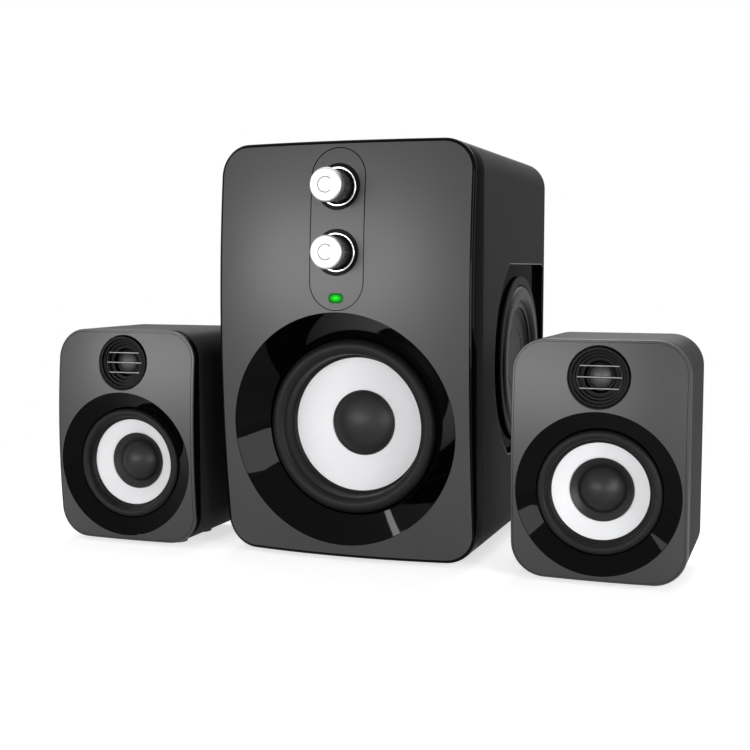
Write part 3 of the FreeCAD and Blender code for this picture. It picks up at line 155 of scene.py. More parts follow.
class Graph:
    """The node tree of one material or of the world."""

    def __init__(self, tree: bpy.types.NodeTree) -> None:
        """Start with an empty tree."""
        self.tree = tree
        tree.nodes.clear()

    def node(self, kind: str, settings: dict[str, object] | None = None,
             sockets: dict[int | str, object] | None = None, out: int | str = 0) -> Wire:
        """Add one node.

        Args:
            kind: Node type.
            settings: Properties, set before the sockets; "stops" fills a colour ramp.
            sockets: Numbers, colours or wires by socket name or index.
            out: Output socket to return.

        Returns:
            The chosen output.
        """
        made = self.tree.nodes.new(kind)
        for key, value in (settings or {}).items():
            if key == "stops":
                self._fill_ramp(made.color_ramp, value)
            else:
                setattr(made, key, value)
        for key, value in (sockets or {}).items():
            if isinstance(value, Wire):
                self.tree.links.new(value.socket, made.inputs[key])
            else:
                made.inputs[key].default_value = value
        return Wire(self, made.outputs[out])

    @staticmethod
    def _fill_ramp(ramp: bpy.types.ColorRamp, stops: Sequence[tuple[float, Colour]]) -> None:
        """Replace a ramp's stops.

        Args:
            ramp: The ramp.
            stops: Position and colour of each stop.
        """
        while len(ramp.elements) > 1:
            ramp.elements.remove(ramp.elements[-1])
        ramp.elements[0].position, ramp.elements[0].color = stops[0]
        for position, colour in stops[1:]:
            ramp.elements.new(position).color = colour

    def position(self, centre: Triple = (0, 0, 0), stretch: Triple = (1, 1, 1)) -> Wire:
        """Object coordinates.

        Args:
            centre: Point that becomes the origin, in metres.
            stretch: Factor along each axis.

        Returns:
            The place.
        """
        shift = [-c * s for c, s in zip(centre, stretch)]
        return self.node("ShaderNodeMapping", {"vector_type": "POINT"}, {
            "Vector": self.node("ShaderNodeTexCoord", out="Object"), "Location": shift, "Scale": stretch})

    def noise(self, place: Wire, scale: float, detail: float = 2.0, rough: float = 0.5) -> Wire:
        """Noise value, scale in cycles per metre."""
        return self.node("ShaderNodeTexNoise", None,
                         {"Vector": place, "Scale": scale, "Detail": detail, "Roughness": rough})

    def specks(self, place: Wire, scale: float, size: float) -> Wire:
        """1 in a small spot of each cell, scale in cells per metre."""
        return self.node("ShaderNodeTexVoronoi", None, {"Vector": place, "Scale": scale}) < size

    def axes(self, place: Wire) -> list[Wire]:
        """The three coordinates of a place."""
        split = self.node("ShaderNodeSeparateXYZ", None, {0: place}).socket.node
        return [Wire(self, out) for out in split.outputs]

    def blend(self, share: Wire, low: Wire | Colour, high: Wire | Colour) -> Wire:
        """Colour between two colours."""
        return self.node("ShaderNodeMix", {"data_type": "RGBA"}, {0: share, 6: low, 7: high}, out=2)

    def bump(self, height: Wire, strength: float, distance: float) -> Wire:
        """Bump from a height; distance is the relief in metres."""
        return self.node("ShaderNodeBump", None,
                         {"Height": height, "Strength": strength, "Distance": distance})

    def plain(self, kind: str, value: float, strength: float | None = None) -> Wire:
        """Grey shader of a kind, with its strength where it has one."""
        more = {} if strength is None else {"Strength": strength}
        return self.node(kind, None, {"Color": grey(value), **more})

    def mix(self, share: Wire, low: Wire, high: Wire) -> Wire:
        """Shader between two shaders."""
        return self.node("ShaderNodeMixShader", None, {0: share, 1: low, 2: high})

    def seen(self) -> Wire:
        """Tell what is seen or mirrored from what only lights.

        Returns:
            1 for camera, glossy and transmission rays.
        """
        rays = self.node("ShaderNodeLightPath").socket.node.outputs
        camera, glossy, through = (Wire(self, rays[f"Is {kind} Ray"])
                                   for kind in ("Camera", "Glossy", "Transmission"))
        total = camera + glossy + through
        return total.math("MINIMUM", total, 1.0)

    def coat(self, colour: Wire, rough: Value, normal: Wire | None = None, level: float = 0.5,
             **more: Value) -> None:
        """Principled shader on the output.

        Args:
            colour: Base colour.
            rough: Roughness.
            normal: Bumped normal, if there is one.
            level: Specular level.
            more: Other sockets, with underscores for spaces.
        """
        sockets = {"Base Color": colour, "Roughness": rough, "Specular IOR Level": level}
        sockets |= {key.replace("_", " "): value for key, value in more.items()}
        if normal is not None:
            sockets["Normal"] = normal
        self.output(self.node("ShaderNodeBsdfPrincipled", None, sockets))

    def output(self, shader: Wire, kind: str = "ShaderNodeOutputMaterial") -> None:
        """Connect a shader to the output."""
        self.tree.links.new(shader.socket, self.tree.nodes.new(kind).inputs["Surface"])


def grey(value: float, warmth: float = 0.0) -> Colour:
    """Grey colour; a positive warmth moves it towards red and away from blue."""
    return (value * (1 + warmth), value, value * (1 - warmth), 1.0)


# ---------------------------------------------------------------- finishes

@dataclass(frozen=True)
class Finish:
    """A named finish whose material is made once."""

    name: str
    made: ClassVar[dict[str, bpy.types.Material]] = {}

    def material(self) -> bpy.types.Material:
        """Build the material on first use.

        Returns:
            The material.
        """
        if self.name not in self.made:
            self.made[self.name] = bpy.data.materials.new(self.name)
            self.made[self.name].use_nodes = True
            self.wire(Graph(self.made[self.name].node_tree))
        return self.made[self.name]

    def wire(self, graph: Graph) -> None:
        """Build the nodes.

        Args:
            graph: The material's empty node tree.
        """
        raise NotImplementedError


@dataclass(frozen=True)
class MouldedPlastic(Finish):
    """Injection-moulded plastic with a fine spark-eroded grain and faint broad mottling."""

    colour: float = 0.02
    roughness: float = 0.4
    level: float = 0.3
    grain: float = 2600.0
    relief: float = 0.00002
    mottle: float = 0.12

    def wire(self, graph: Graph) -> None:
        """One shader with the grain."""
        graph.coat(*self.skin(graph), self.level)

    def skin(self, graph: Graph) -> tuple[Wire, Wire, Wire]:
        """Mottle, scuffs and grain.

        Args:
            graph: The material's node tree.

        Returns:
            Colour, roughness and bumped normal.
        """
        place = graph.position()
        grain = graph.noise(place, self.grain, 3.0, 0.6)
        broad = graph.noise(place, 22.0, 3.0, 0.55)
        scuff = graph.noise(graph.position(stretch=(1, 1, 6)), 180.0, 4.0, 0.7).step(0.66, 0.8)
        low, high = (grey(self.colour * (1 + side * self.mottle)) for side in (-1, 1))
        speck = graph.blend(grain.step(0.35, 0.75), low, high)
        colour = graph.blend(broad.step(0.3, 0.7) * 0.5, speck, grey(self.colour))
        rough = self.roughness + (broad - 0.5) * 0.05 + scuff * 0.04 + (grain - 0.5) * 0.04
        return colour, rough, graph.bump(grain, 0.5, self.relief)


@dataclass(frozen=True)
class CasePlastic(MouldedPlastic):
    """Moulded plastic whose upward face came smoother out of the tool than its sides."""

    smoother: float = 0.24

    def skin(self, graph: Graph) -> tuple[Wire, Wire, Wire]:
        """The grain, less rough where the surface looks up."""
        colour, rough, normal = super().skin(graph)
        up = graph.axes(graph.node("ShaderNodeTexCoord", out="Normal"))[2]
        return colour, rough - up.step(0.7, 0.98) * self.smoother, normal


@dataclass(frozen=True)
class GlossPlastic(Finish):
    """High-gloss black plastic with faint polish swirls and dust specks."""

    colour: float = 0.0006
    roughness: float = 0.03
    level: float = 0.06
    relief: float = 0.000004

    def wire(self, graph: Graph) -> None:
        """Slight orange peel, roughness swirls and rare dust."""
        place = graph.position()
        peel = graph.noise(place, 240.0, 1.0, 0.4)
        swirl = graph.noise(graph.position(stretch=(1.0, 1.0, 3.0)), 90.0, 4.0, 0.6)
        dust = graph.specks(place, 420.0, 0.05)
        rough = self.roughness + swirl.step(0.45, 0.8) * 0.02 + dust * 0.25
        colour = graph.blend(dust * 0.35, grey(self.colour), grey(0.02))
        graph.coat(colour, rough, graph.bump(peel, 0.3, self.relief), self.level)


@dataclass(frozen=True)
class Rubber(Finish):
    """Soft black rubber with a powdery bloom."""

    colour: float = 0.012
    roughness: float = 0.42
    level: float = 0.35
    bloom: float = 0.25

    def wire(self, graph: Graph) -> None:
        """Fine pitted grain, uneven bloom and roughness."""
        place = graph.position()
        pits = graph.noise(place, 1900.0, 3.0, 0.65)
        cloud = graph.noise(place, 70.0, 4.0, 0.6)
        colour = graph.blend(cloud.step(0.45, 0.75) * self.bloom, grey(self.colour),
                             grey(self.colour * 2.2, 0.03))
        rough = self.roughness + cloud.step(0.3, 0.8) * 0.08 + (pits - 0.5) * 0.06
        graph.coat(colour, rough, graph.bump(pits, 0.45, 0.00003), self.level)


@dataclass(frozen=True)
class ConePaper(Finish):
    """White coated pulp cone with faint fibres and a trace of radial pressing marks."""

    centre: Triple = (0.0, 0.0, 0.0)
    colour: float = 0.83

    def wire(self, graph: Graph) -> None:
        """Fibres, faint rings about the axis and a slightly uneven coat."""
        place = graph.position(self.centre)
        across, _, up = graph.axes(place)
        fibre = graph.noise(graph.position(stretch=(1, 1, 2.5)), 900.0, 5.0, 0.7)
        cloud = graph.noise(place, 45.0, 3.0, 0.5)
        rings = (across.reach(up) * 5200.0).wave()
        low, high = (tuple(self.colour * share for share in tint) + (1.0,)
                     for tint in ((0.965, 0.967, 0.985), (1.0, 1.002, 1.02)))
        colour = graph.blend(cloud.step(0.3, 0.7) * 0.6 + fibre * 0.4, low, high)
        normal = graph.bump(fibre + rings * 0.25, 0.25, 0.00003)
        graph.coat(colour, 0.5 + (fibre - 0.5) * 0.12, normal, 0.35)


@dataclass(frozen=True)
class TurnedMetal(Finish):
    """Bright turned metal with fine lathe rings about a y axis."""

    centre: Triple = (0.0, 0.0, 0.0)
    colour: Triple = (0.9, 0.9, 0.91)
    roughness: float = 0.14
    relief: float = 0.000002

    def wire(self, graph: Graph) -> None:
        """Lathe rings, smudges and a faint tint."""
        place = graph.position(self.centre)
        across, _, up = graph.axes(place)
        rings = (across.reach(up) * 26000.0 + graph.noise(place, 300.0) * 3.0).wave()
        smudge = graph.noise(place, 260.0, 4.0, 0.6).step(0.4, 0.8)
        dim = tuple(c * 0.93 for c in self.colour) + (1.0,)
        rough = self.roughness + smudge * 0.06 + rings * 0.03
        graph.coat(graph.blend(smudge * 0.5, self.colour + (1.0,), dim), rough,
                   graph.bump(rings, 0.2, self.relief), Metallic=1.0)


@dataclass(frozen=True)
class SheetMetal(Finish):
    """Plated or cast metal: brushed along one axis, with stains."""

    colour: Triple = (0.5, 0.5, 0.5)
    roughness: float = 0.35
    metallic: float = 1.0
    stretch: Triple = (1.0, 1.0, 12.0)
    stain: Triple = (0.3, 0.3, 0.3)

    def wire(self, graph: Graph) -> None:
        """Brush lines, stains and uneven gloss."""
        brush = graph.noise(graph.position(stretch=self.stretch), 500.0, 5.0, 0.7)
        cloud = graph.noise(graph.position(), 60.0, 4.0, 0.6)
        mask = cloud.step(0.5, 0.8) * 0.5 + brush * 0.15
        colour = graph.blend(mask, self.colour + (1.0,), self.stain + (1.0,))
        rough = self.roughness + brush * 0.12 + cloud.step(0.5, 0.9) * 0.1
        graph.coat(colour, rough, graph.bump(brush, 0.3, 0.00001), Metallic=self.metallic)


@dataclass(frozen=True)
class Winding(Finish):
    """Copper wire wound round a former, the turns side by side along y."""

    pitch: float = 0.0003

    def wire(self, graph: Graph) -> None:
        """One ridge for each turn, with a lacquer that varies; the copper is painted darker in the grooves
        between turns, as painted shade.
        """
        place = graph.position()
        ridge = (graph.axes(place)[1] * (math.tau / self.pitch)).wave()
        cloud = graph.noise(place, 300.0, 3.0, 0.6)
        # Colour follows the ridges: lighter on each crest, painted shade in the grooves between turns; the
        # cloud is the lacquer that varies.
        colour = graph.blend(ridge * 0.6 + cloud * 0.4, (0.28, 0.09, 0.03, 1.0), (0.8, 0.36, 0.16, 1.0))
        graph.coat(colour, 0.25 + cloud * 0.15, graph.bump(ridge, 0.7, 0.00008), Metallic=0.9,
                   Coat_Weight=0.4)


@dataclass(frozen=True)
class Board(Finish):
    """Circuit board: dark green lacquer over copper tracks, with pads."""

    scale: float = 260.0

    def wire(self, graph: Graph) -> None:
        """Tracks from a brick pattern, pads from cells."""
        across, _, up = graph.axes(graph.position())
        flat = graph.node("ShaderNodeCombineXYZ", None, {0: across, 1: up, 2: 0.0})
        brick = graph.node("ShaderNodeTexBrick", {"offset": 0.5, "squash": 0.6},
                           {"Vector": flat, "Scale": self.scale, "Mortar Size": 0.03}, out="Fac")
        pads = graph.specks(flat, self.scale * 0.9, 0.16)
        base = graph.blend(brick, (0.004, 0.05, 0.02, 1.0), (0.01, 0.12, 0.045, 1.0))
        normal = graph.bump(brick * 0.5 + pads * 0.5, 0.5, 0.00004)
        graph.coat(graph.blend(pads, base, (0.55, 0.56, 0.55, 1.0)), 0.3 + pads * 0.1, normal,
                   Metallic=pads, Coat_Weight=0.3)


@dataclass(frozen=True)
class PhenolicCloth(Finish):
    """Yellow-brown woven cloth stiffened with resin."""

    threads: float = 2600.0

    def wire(self, graph: Graph) -> None:
        """Two crossed thread waves with uneven resin."""
        place = graph.position()
        across, _, up = graph.axes(place)
        weave = (across * self.threads).wave() * (up * self.threads).wave()
        cloud = graph.noise(place, 140.0, 4.0, 0.6)
        colour = graph.blend(weave * 0.6 + cloud * 0.4, (0.2, 0.11, 0.04, 1.0), (0.62, 0.42, 0.2, 1.0))
        graph.coat(colour, 0.55 + cloud * 0.2, graph.bump(weave, 0.8, 0.00015), 0.3)


@dataclass(frozen=True)
class LightLens(Finish):
    """Green indicator lens, brightest in its middle."""

    centre: Triple = (0.0, 0.0, 0.0)
    half: Pair = (0.0038, 0.0023)

    def wire(self, graph: Graph) -> None:
        """Emission that falls off from the middle, with a faint diffuser grain."""
        stretch = (1 / self.half[0], 1.0, 1 / self.half[1])
        across, _, up = graph.axes(graph.position(self.centre, stretch))
        grain = graph.noise(graph.position(), 1500.0, 2.0, 0.5)
        share = (1 - across.reach(up).step(0.0, 1.05)) + (grain - 0.5) * 0.12
        stops = [(0.0, (0.0, 0.12, 0.004, 1.0)), (0.45, (0.002, 0.42, 0.004, 1.0)),
                 (1.0, (0.012, 0.93, 0.008, 1.0))]
        glow = graph.node("ShaderNodeValToRGB", {"stops": stops}, {0: share})
        colour = graph.blend(share, (0.0, 0.05, 0.004, 1.0), (0.002, 0.1, 0.004, 1.0))
        graph.coat(colour, 0.25 + grain * 0.1, level=0.05, Emission_Color=glow, Emission_Strength=0.92)


SATIN = MouldedPlastic("satin_face", colour=0.016, roughness=0.36, level=0.55, relief=0.000008)
GLOSS = GlossPlastic("gloss_black")
BAND = GlossPlastic("band_gloss", colour=0.002, roughness=0.06, level=0.0015)
CASE = CasePlastic("case_plastic", colour=0.016, roughness=0.75, level=0.08, grain=1500.0)
PANEL = MouldedPlastic("panel_plastic", colour=0.014, roughness=0.55, level=0.25, grain=900.0,
                       relief=0.00006)
WELL = MouldedPlastic("well_plastic", colour=0.003, roughness=0.3, level=0.05)
GRIP = MouldedPlastic("grip_plastic", colour=0.014, roughness=0.35, level=0.22)
TWEETER = MouldedPlastic("tweeter_plastic", colour=0.003, roughness=0.25, level=0.1, relief=0.000005)
# Darker copy of the tweeter plastic for the upright walls of the cup's steps: painted shade, so the steps
# read as light and dark rings.
PAINTED_SHADE_WALLS = MouldedPlastic("tweeter_walls_painted_shade", colour=0.001, roughness=0.3, level=0.01, relief=0.000005)
SOCKET = MouldedPlastic("socket_plastic", roughness=0.35, level=0.4)
ROLL = Rubber("surround_rubber", colour=0.009, level=0.13)
FRAME = MouldedPlastic("frame_plastic", colour=0.01, roughness=0.55, level=0.05)
FEET = Rubber("foot_rubber", colour=0.02, roughness=0.6, level=0.3, bloom=0.6)
CAP = MouldedPlastic("cap_plastic", colour=0.009, roughness=0.42, relief=0.000006)
PLATE = MouldedPlastic("plate_plastic", colour=0.012, roughness=0.5, level=0.1)
INK = MouldedPlastic("engraving_paint", colour=0.42, roughness=0.6, level=0.2)
STEEL = SheetMetal("zinc_steel", (0.55, 0.55, 0.53), 0.34)
BASKET = SheetMetal("basket_steel", (0.1, 0.1, 0.1), 0.4, 1.0, (6.0, 1.0, 1.0), (0.04, 0.04, 0.04))
FERRITE = SheetMetal("ferrite", (0.045, 0.044, 0.043), 0.55, 0.2, (1.0, 1.0, 1.0), (0.02, 0.02, 0.02))
SCREW = SheetMetal("screw_steel", (0.09, 0.09, 0.09), 0.32, 1.0, (1.0, 1.0, 4.0), (0.3, 0.29, 0.28))
ALUMINIUM = SheetMetal("aluminium", (0.62, 0.63, 0.64), 0.3, 1.0, (1.0, 1.0, 14.0), (0.45, 0.45, 0.46))
BRASS = SheetMetal("shaft_brass", (0.68, 0.5, 0.22), 0.28, 1.0, (1.0, 10.0, 1.0), (0.4, 0.28, 0.1))
WIRE = SheetMetal("guard_wire", (0.26, 0.26, 0.26), 0.3, 0.9, (12.0, 1.0, 1.0), (0.28, 0.28, 0.28))
FOIL = SheetMetal("dome_foil", (0.07, 0.07, 0.07), 0.45, 0.5, (1.0, 1.0, 1.0), (0.04, 0.04, 0.04))
COPPER = Winding("coil_winding")
BOARD = Board("circuit_board")
CLOTH = PhenolicCloth("spider_cloth")


# ---------------------------------------------------------------- shaping

def round_corner(bm: BMesh, vert: BMVert, radius: float, steps: int = 0) -> None:
    """Round one corner of a flat outline.

    Args:
        bm: The mesh that holds the outline.
        vert: The corner, which has two edges.
        radius: Rounding radius.
        steps: Segments of the rounding, or 0 to choose them from the radius.
    """
    one, two = (edge.other_vert(vert).co - vert.co for edge in vert.link_edges)
    turn = math.pi - one.angle(two)
    reach = min(radius * math.tan(turn / 2), WHOLE * one.length, WHOLE * two.length)
    count = steps or max(3, min(20, int(4 + radius * turn * 1.2)))
    bmesh.ops.bevel(bm, geom=[vert], offset=reach, offset_type="OFFSET", affect="VERTICES",
                    segments=count, profile=0.5, material=-1, clamp_overlap=False)


def spin(bm: BMesh, geometry: list, angle: float, steps: int, whole: bool = False,
         centre: Triple = (0, 0, 0), axis: Triple = (0, 1, 0)) -> None:
    """Spin geometry about an axis; a whole turn is merged."""
    bmesh.ops.spin(bm, geom=geometry, cent=centre, axis=axis, dvec=(0, 0, 0), angle=angle, steps=steps,
                   use_merge=whole, use_normal_flip=False, use_duplicate=False)


def everything(bm: BMesh) -> list:
    """All corners, edges and faces."""
    return bm.verts[:] + bm.edges[:] + bm.faces[:]


def face_outwards(bm: BMesh) -> None:
    """Turn every face outwards."""
    bmesh.ops.recalc_face_normals(bm, faces=bm.faces[:])


def corners(items: Iterable[object]) -> list[BMVert]:
    """The corners among what an operator made."""
    return [item for item in items if isinstance(item, BMVert)]


def turn_to(face: BMFace, way: Vector) -> None:
    """Turn a face so that it looks a given way.

    Args:
        face: The face.
        way: Direction that it should look in.
    """
    face.normal_update()
    if face.normal.dot(way) < 0:
        face.normal_flip()


def stands_at(item: BMFace | BMEdge, x: float, near: float = NEAR) -> bool:
    """True if every corner is in the plane at x."""
    return all(abs(v.co.x - x) < near for v in item.verts)


def on_front(point: Vector) -> bool:
    """True in the plane of the front, before it is curved."""
    return abs(point.y) < NEAR


def dome(radius: float, rise: float, root: float) -> list[tuple[float, ...]]:
    """Profile of a dome.

    Args:
        radius: Radius of its rim.
        rise: Height of its top over the rim.
        root: Depth of the rim.

    Returns:
        Two corners, from the rim to the top.
    """
    ball = (radius ** 2 + rise ** 2) / (2 * rise)
    angle = math.asin(radius / ball)
    return [(ball * math.tan(angle / 2), root - rise, ball), (0.0, root - rise)]


def about(point: Vector, height: float) -> Triple:
    """Across and up from the level axis at a height, and the distance from it."""
    return point.x, point.z - height, math.hypot(point.x, point.z - height)


def hang(name: str, data: bpy.types.ID) -> bpy.types.Object:
    """Put new data into the scene.

    Args:
        name: Name of the object.
        data: Its mesh, lamp or camera.

    Returns:
        The object.
    """
    made = bpy.data.objects.new(name, data)
    bpy.context.scene.collection.objects.link(made)
    return made


class Shape:
    """A mesh being shaped in millimetres: x to the right, y back from the face, z up."""

    def __init__(self) -> None:
        """Start with nothing."""
        self.bm = bmesh.new()

    def absorb(self, part: BMesh, matrix: Matrix = Matrix.Identity(4), slot: int = 0) -> None:
        """Add another mesh.

        Args:
            part: The mesh to add, which is freed.
            matrix: Where to put it.
            slot: Material slot of its faces.
        """
        part.transform(matrix)
        for face in part.faces:
            face.material_index = slot
        mesh = bpy.data.meshes.new("part")
        part.to_mesh(mesh)
        part.free()
        self.bm.from_mesh(mesh)
        bpy.data.meshes.remove(mesh)

    def lathe(self, profile: Profile, axis: Pair = (0.0, 0.0), steps: int = 96, slot: int = 0,
              sweep: Pair | None = None) -> None:
        """Turn a closed outline about a level axis that runs from front to back.

        Args:
            profile: Outline corners in order.
            axis: Where the axis stands: across and up.
            steps: Segments round the turn.
            slot: Material slot.
            sweep: Start angle and angle turned through, or None for a whole turn.
        """
        part = bmesh.new()
        rim = [part.verts.new((corner[0], corner[1], 0.0)) for corner in profile]
        part.faces.new(rim)
        for corner, vert in zip(profile, rim):
            if len(corner) > 2:
                round_corner(part, vert, corner[2])
        if sweep is None:
            bmesh.ops.delete(part, geom=part.faces[:], context="FACES_ONLY")
            middle = [edge for edge in part.edges if max(v.co.x for v in edge.verts) < MERGE]
            bmesh.ops.delete(part, geom=middle, context="EDGES")
        geometry = everything(part)
        start, angle = sweep or (0.0, math.tau)
        bmesh.ops.rotate(part, verts=part.verts[:], cent=(0, 0, 0), matrix=Matrix.Rotation(start, 3, "Y"))
        spin(part, geometry, angle, steps, sweep is None)
        bmesh.ops.remove_doubles(part, verts=part.verts[:], dist=MERGE)
        face_outwards(part)
        self.absorb(part, Matrix.Translation((axis[0], 0.0, axis[1])), slot)

    def newest(self, known: set[BMFace], slot: int, way: Vector = FRONT) -> BMFace:
        """Dress the one face that isn't known yet.

        Args:
            known: The faces that were there before.
            slot: Its material slot.
            way: Direction that it looks in.

        Returns:
            The face.
        """
        made = next(face for face in self.bm.faces if face not in known)
        made.material_index = slot
        turn_to(made, way)
        return made

    def outline(self, size: Pair, corner: float, depth: float, height: float = 0.0, steps: int = 14,
                slot: int = 0) -> BMFace:
        """Flat rounded rectangle that faces the front.

        Args:
            size: Size across and up.
            corner: Corner radius.
            depth: Depth of its plane.
            height: Height of its middle.
            steps: Segments of each corner.
            slot: Material slot.

        Returns:
            The face.
        """
        known = set(self.bm.faces)
        rim = [self.bm.verts.new((sx * size[0] / 2, depth, height + sz * size[1] / 2))
               for sx, sz in ((-1, -1), (1, -1), (1, 1), (-1, 1))]
        self.bm.faces.new(rim)
        for vert in rim:
            round_corner(self.bm, vert, corner, steps)
        return self.newest(known, slot)

    def disc(self, radius: float, centre: Pair, steps: int = 96) -> BMFace:
        """Flat disc in the plane of the front.

        Args:
            radius: Its radius.
            centre: Its middle, across and up.
            steps: Corners round it.

        Returns:
            The face.
        """
        known = set(self.bm.faces)
        matrix = Matrix.Translation((centre[0], 0.0, centre[1])) @ Matrix.Rotation(math.pi / 2, 4, "X")
        bmesh.ops.create_circle(self.bm, cap_ends=True, radius=radius, segments=steps, matrix=matrix)
        return self.newest(known, 0)

    def step_in(self, face: BMFace, inset: float, sink: float, slot: int | None = None) -> None:
        """Inset a face and move it along its normal.

        Args:
            face: The face.
            inset: Width of the new band.
            sink: Distance against the normal, into the body.
            slot: Material slot of the new band, if it changes.
        """
        band = bmesh.ops.inset_region(self.bm, faces=[face], thickness=inset, depth=-sink,
                                      use_boundary=True, use_even_offset=True)["faces"]
        if slot is not None:
            for made in band:
                made.material_index = slot

    def lip(self, face: BMFace, width: float, drop: float, steps: int, outward: bool = False,
            slot: int | None = None) -> None:
        """Quarter-round band round a face.

        Args:
            face: The face.
            width: Width of the rounding.
            drop: Depth of the rounding.
            steps: Segments.
            outward: True if the face rises from its edge, False if it falls away from it.
            slot: Material slot of the rounding, if it changes.
        """
        for index in range(steps):
            low, high = (math.pi / 2 * (index + more) / steps for more in (0, 1))
            along, rise = math.sin(high) - math.sin(low), math.cos(low) - math.cos(high)
            inset, sink = (width * rise, -drop * along) if outward else (width * along, drop * rise)
            self.step_in(face, max(inset, MERGE), sink, slot)

    def groove(self, face: BMFace, side: float, bottom: float, depth: float,
               slot: int | None = None) -> None:
        """Groove round a face: width of its sides and of its bottom, and its depth."""
        for inset, sink in ((side, depth), (bottom, 0.0), (side, -depth)):
            self.step_in(face, inset, sink, slot)

    def pierce(self, face: BMFace, edge: Rounding, depth: float,
               slots: tuple[int | None, int | None] = (None, 1)) -> None:
        """Turn a face into an opening.

        Args:
            face: The face.
            edge: Width, depth and segments of the rounded edge.
            depth: Depth of the upright wall.
            slots: Material slots of the rounded edge and the wall, where they change.
        """
        self.lip(face, *edge, slot=slots[0])
        self.step_in(face, HAIR, depth, slots[1])
        self.open(face)

    def open(self, *faces: BMFace) -> None:
        """Remove faces and keep their edges."""
        bmesh.ops.delete(self.bm, geom=faces, context="FACES_ONLY")

    def fill(self, keep: Callable[[Vector], bool], way: Vector = FRONT, slot: int = 0) -> None:
        """Fill between all open edges whose two ends pass a test.

        Args:
            keep: Test on a point.
            way: Where the new faces look.
            slot: Material slot of the new faces.
        """
        edges = [e for e in self.bm.edges if len(e.link_faces) < 2 and all(keep(v.co) for v in e.verts)]
        made = bmesh.ops.triangle_fill(self.bm, use_beauty=True, use_dissolve=False, edges=edges,
                                       normal=way)["geom"]
        for face in made:
            if isinstance(face, BMFace):
                face.material_index = slot
                turn_to(face, way)

    def slice(self, axis: int, places: Iterable[float]) -> None:
        """Cut the whole mesh by planes, keeping both sides.

        Args:
            axis: The axis that the planes stand across.
            places: Where they cut it.
        """
        way = Vector([float(index == axis) for index in range(3)])
        for place in places:
            bmesh.ops.bisect_plane(self.bm, geom=everything(self.bm), dist=MERGE, plane_co=way * place,
                                   plane_no=way)

    def extrude(self, edges: Edges, shift: Triple = (0, 0, 0), slot: int | None = None) -> list[BMEdge]:
        """Extrude open edges.

        Args:
            edges: The edges.
            shift: Movement of the new edges.
            slot: Material slot of the new faces, if it changes.

        Returns:
            The new outer edges.
        """
        made = bmesh.ops.extrude_edge_only(self.bm, edges=edges)["geom"]
        fresh = set(corners(made))
        bmesh.ops.translate(self.bm, verts=list(fresh), vec=shift)
        for item in made:
            if isinstance(item, BMFace) and slot is not None:
                item.material_index = slot
        return [item for item in made if isinstance(item, BMEdge) and fresh.issuperset(item.verts)]

    def piece(self, name: str, finishes: Sequence[Finish], matrix: Matrix, body: Body | None, slot: str,
              nodes: Sequence[str], weighted: bool = True,
              bend: Callable[[Vector], Vector] | None = None) -> bpy.types.Object:
        """Make the finished object.

        Args:
            name: Object name.
            finishes: Finish of each material slot.
            matrix: From millimetres here to metres in the row.
            body: Body that it rides on, or None to leave it on no body.
            slot: Record's material slot; not used.
            nodes: CAD nodes that it stands for.
            weighted: True to weight corner normals by face area.
            bend: Gives the true normal at a point of slot 0.

        Returns:
            The object.
        """
        self.bm.normal_update()
        for face in self.bm.faces:
            face.smooth = True
        for edge in self.bm.edges:
            edge.smooth = len(edge.link_faces) == 2 and edge.calc_face_angle(0.0) < SHARP
        mesh = bpy.data.meshes.new(name)
        self.bm.to_mesh(mesh)
        self.bm.free()
        if bend:
            self._set_normals(mesh, bend)
        mesh.transform(matrix)
        mesh.update()
        for finish in finishes:
            mesh.materials.append(finish.material())
        made = hang(name, mesh)
        if weighted and not bend:
            made.modifiers.new("even_normals", "WEIGHTED_NORMAL").keep_sharp = True
        if body is not None:
            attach(made, body.value)
        if nodes:
            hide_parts(*nodes)
        log.info("%s: %d faces on %s", name, len(mesh.polygons), body.value if body else "two bodies")
        return made

    @staticmethod
    def _set_normals(mesh: bpy.types.Mesh, bend: Callable[[Vector], Vector]) -> None:
        """Set exact corner normals on slot 0 where the face looks much the same way.

        Args:
            mesh: The mesh.
            bend: Gives the true normal at a point.
        """
        normals = [Vector((0, 0, 0))] * len(mesh.loops)
        for polygon in mesh.polygons:
            for index in () if polygon.material_index else polygon.loop_indices:
                true = bend(mesh.vertices[mesh.loops[index].vertex_index].co)
                if true.dot(polygon.normal) > 0.8:
                    normals[index] = true
        mesh.normals_split_custom_set(normals)


@dataclass(frozen=True)
class Place:
    """Where a cabinet stands: the middle of its underside below the face's crown, in metres."""

    origin: Triple

    @classmethod
    def of(cls, case: str, front: str) -> "Place":
        """Place of a cabinet from its CAD case and front."""
        low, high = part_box(case)
        return cls(((low.x + high.x) / 2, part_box(front)[0].y, low.z))

    def matrix(self) -> Matrix:
        """From millimetres in the cabinet to metres in the row."""
        return Matrix.Translation(self.origin) @ Matrix.Scale(MM, 4)

    def point(self, x: float, y: float, z: float) -> Triple:
        """A point of the cabinet in the row."""
        return tuple(self.matrix() @ Vector((x, y, z)))

    def box(self, node: str) -> list[Vector]:
        """Lowest and highest corner of a CAD node, in the cabinet's millimetres."""
        return [self.matrix().inverted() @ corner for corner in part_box(node)]


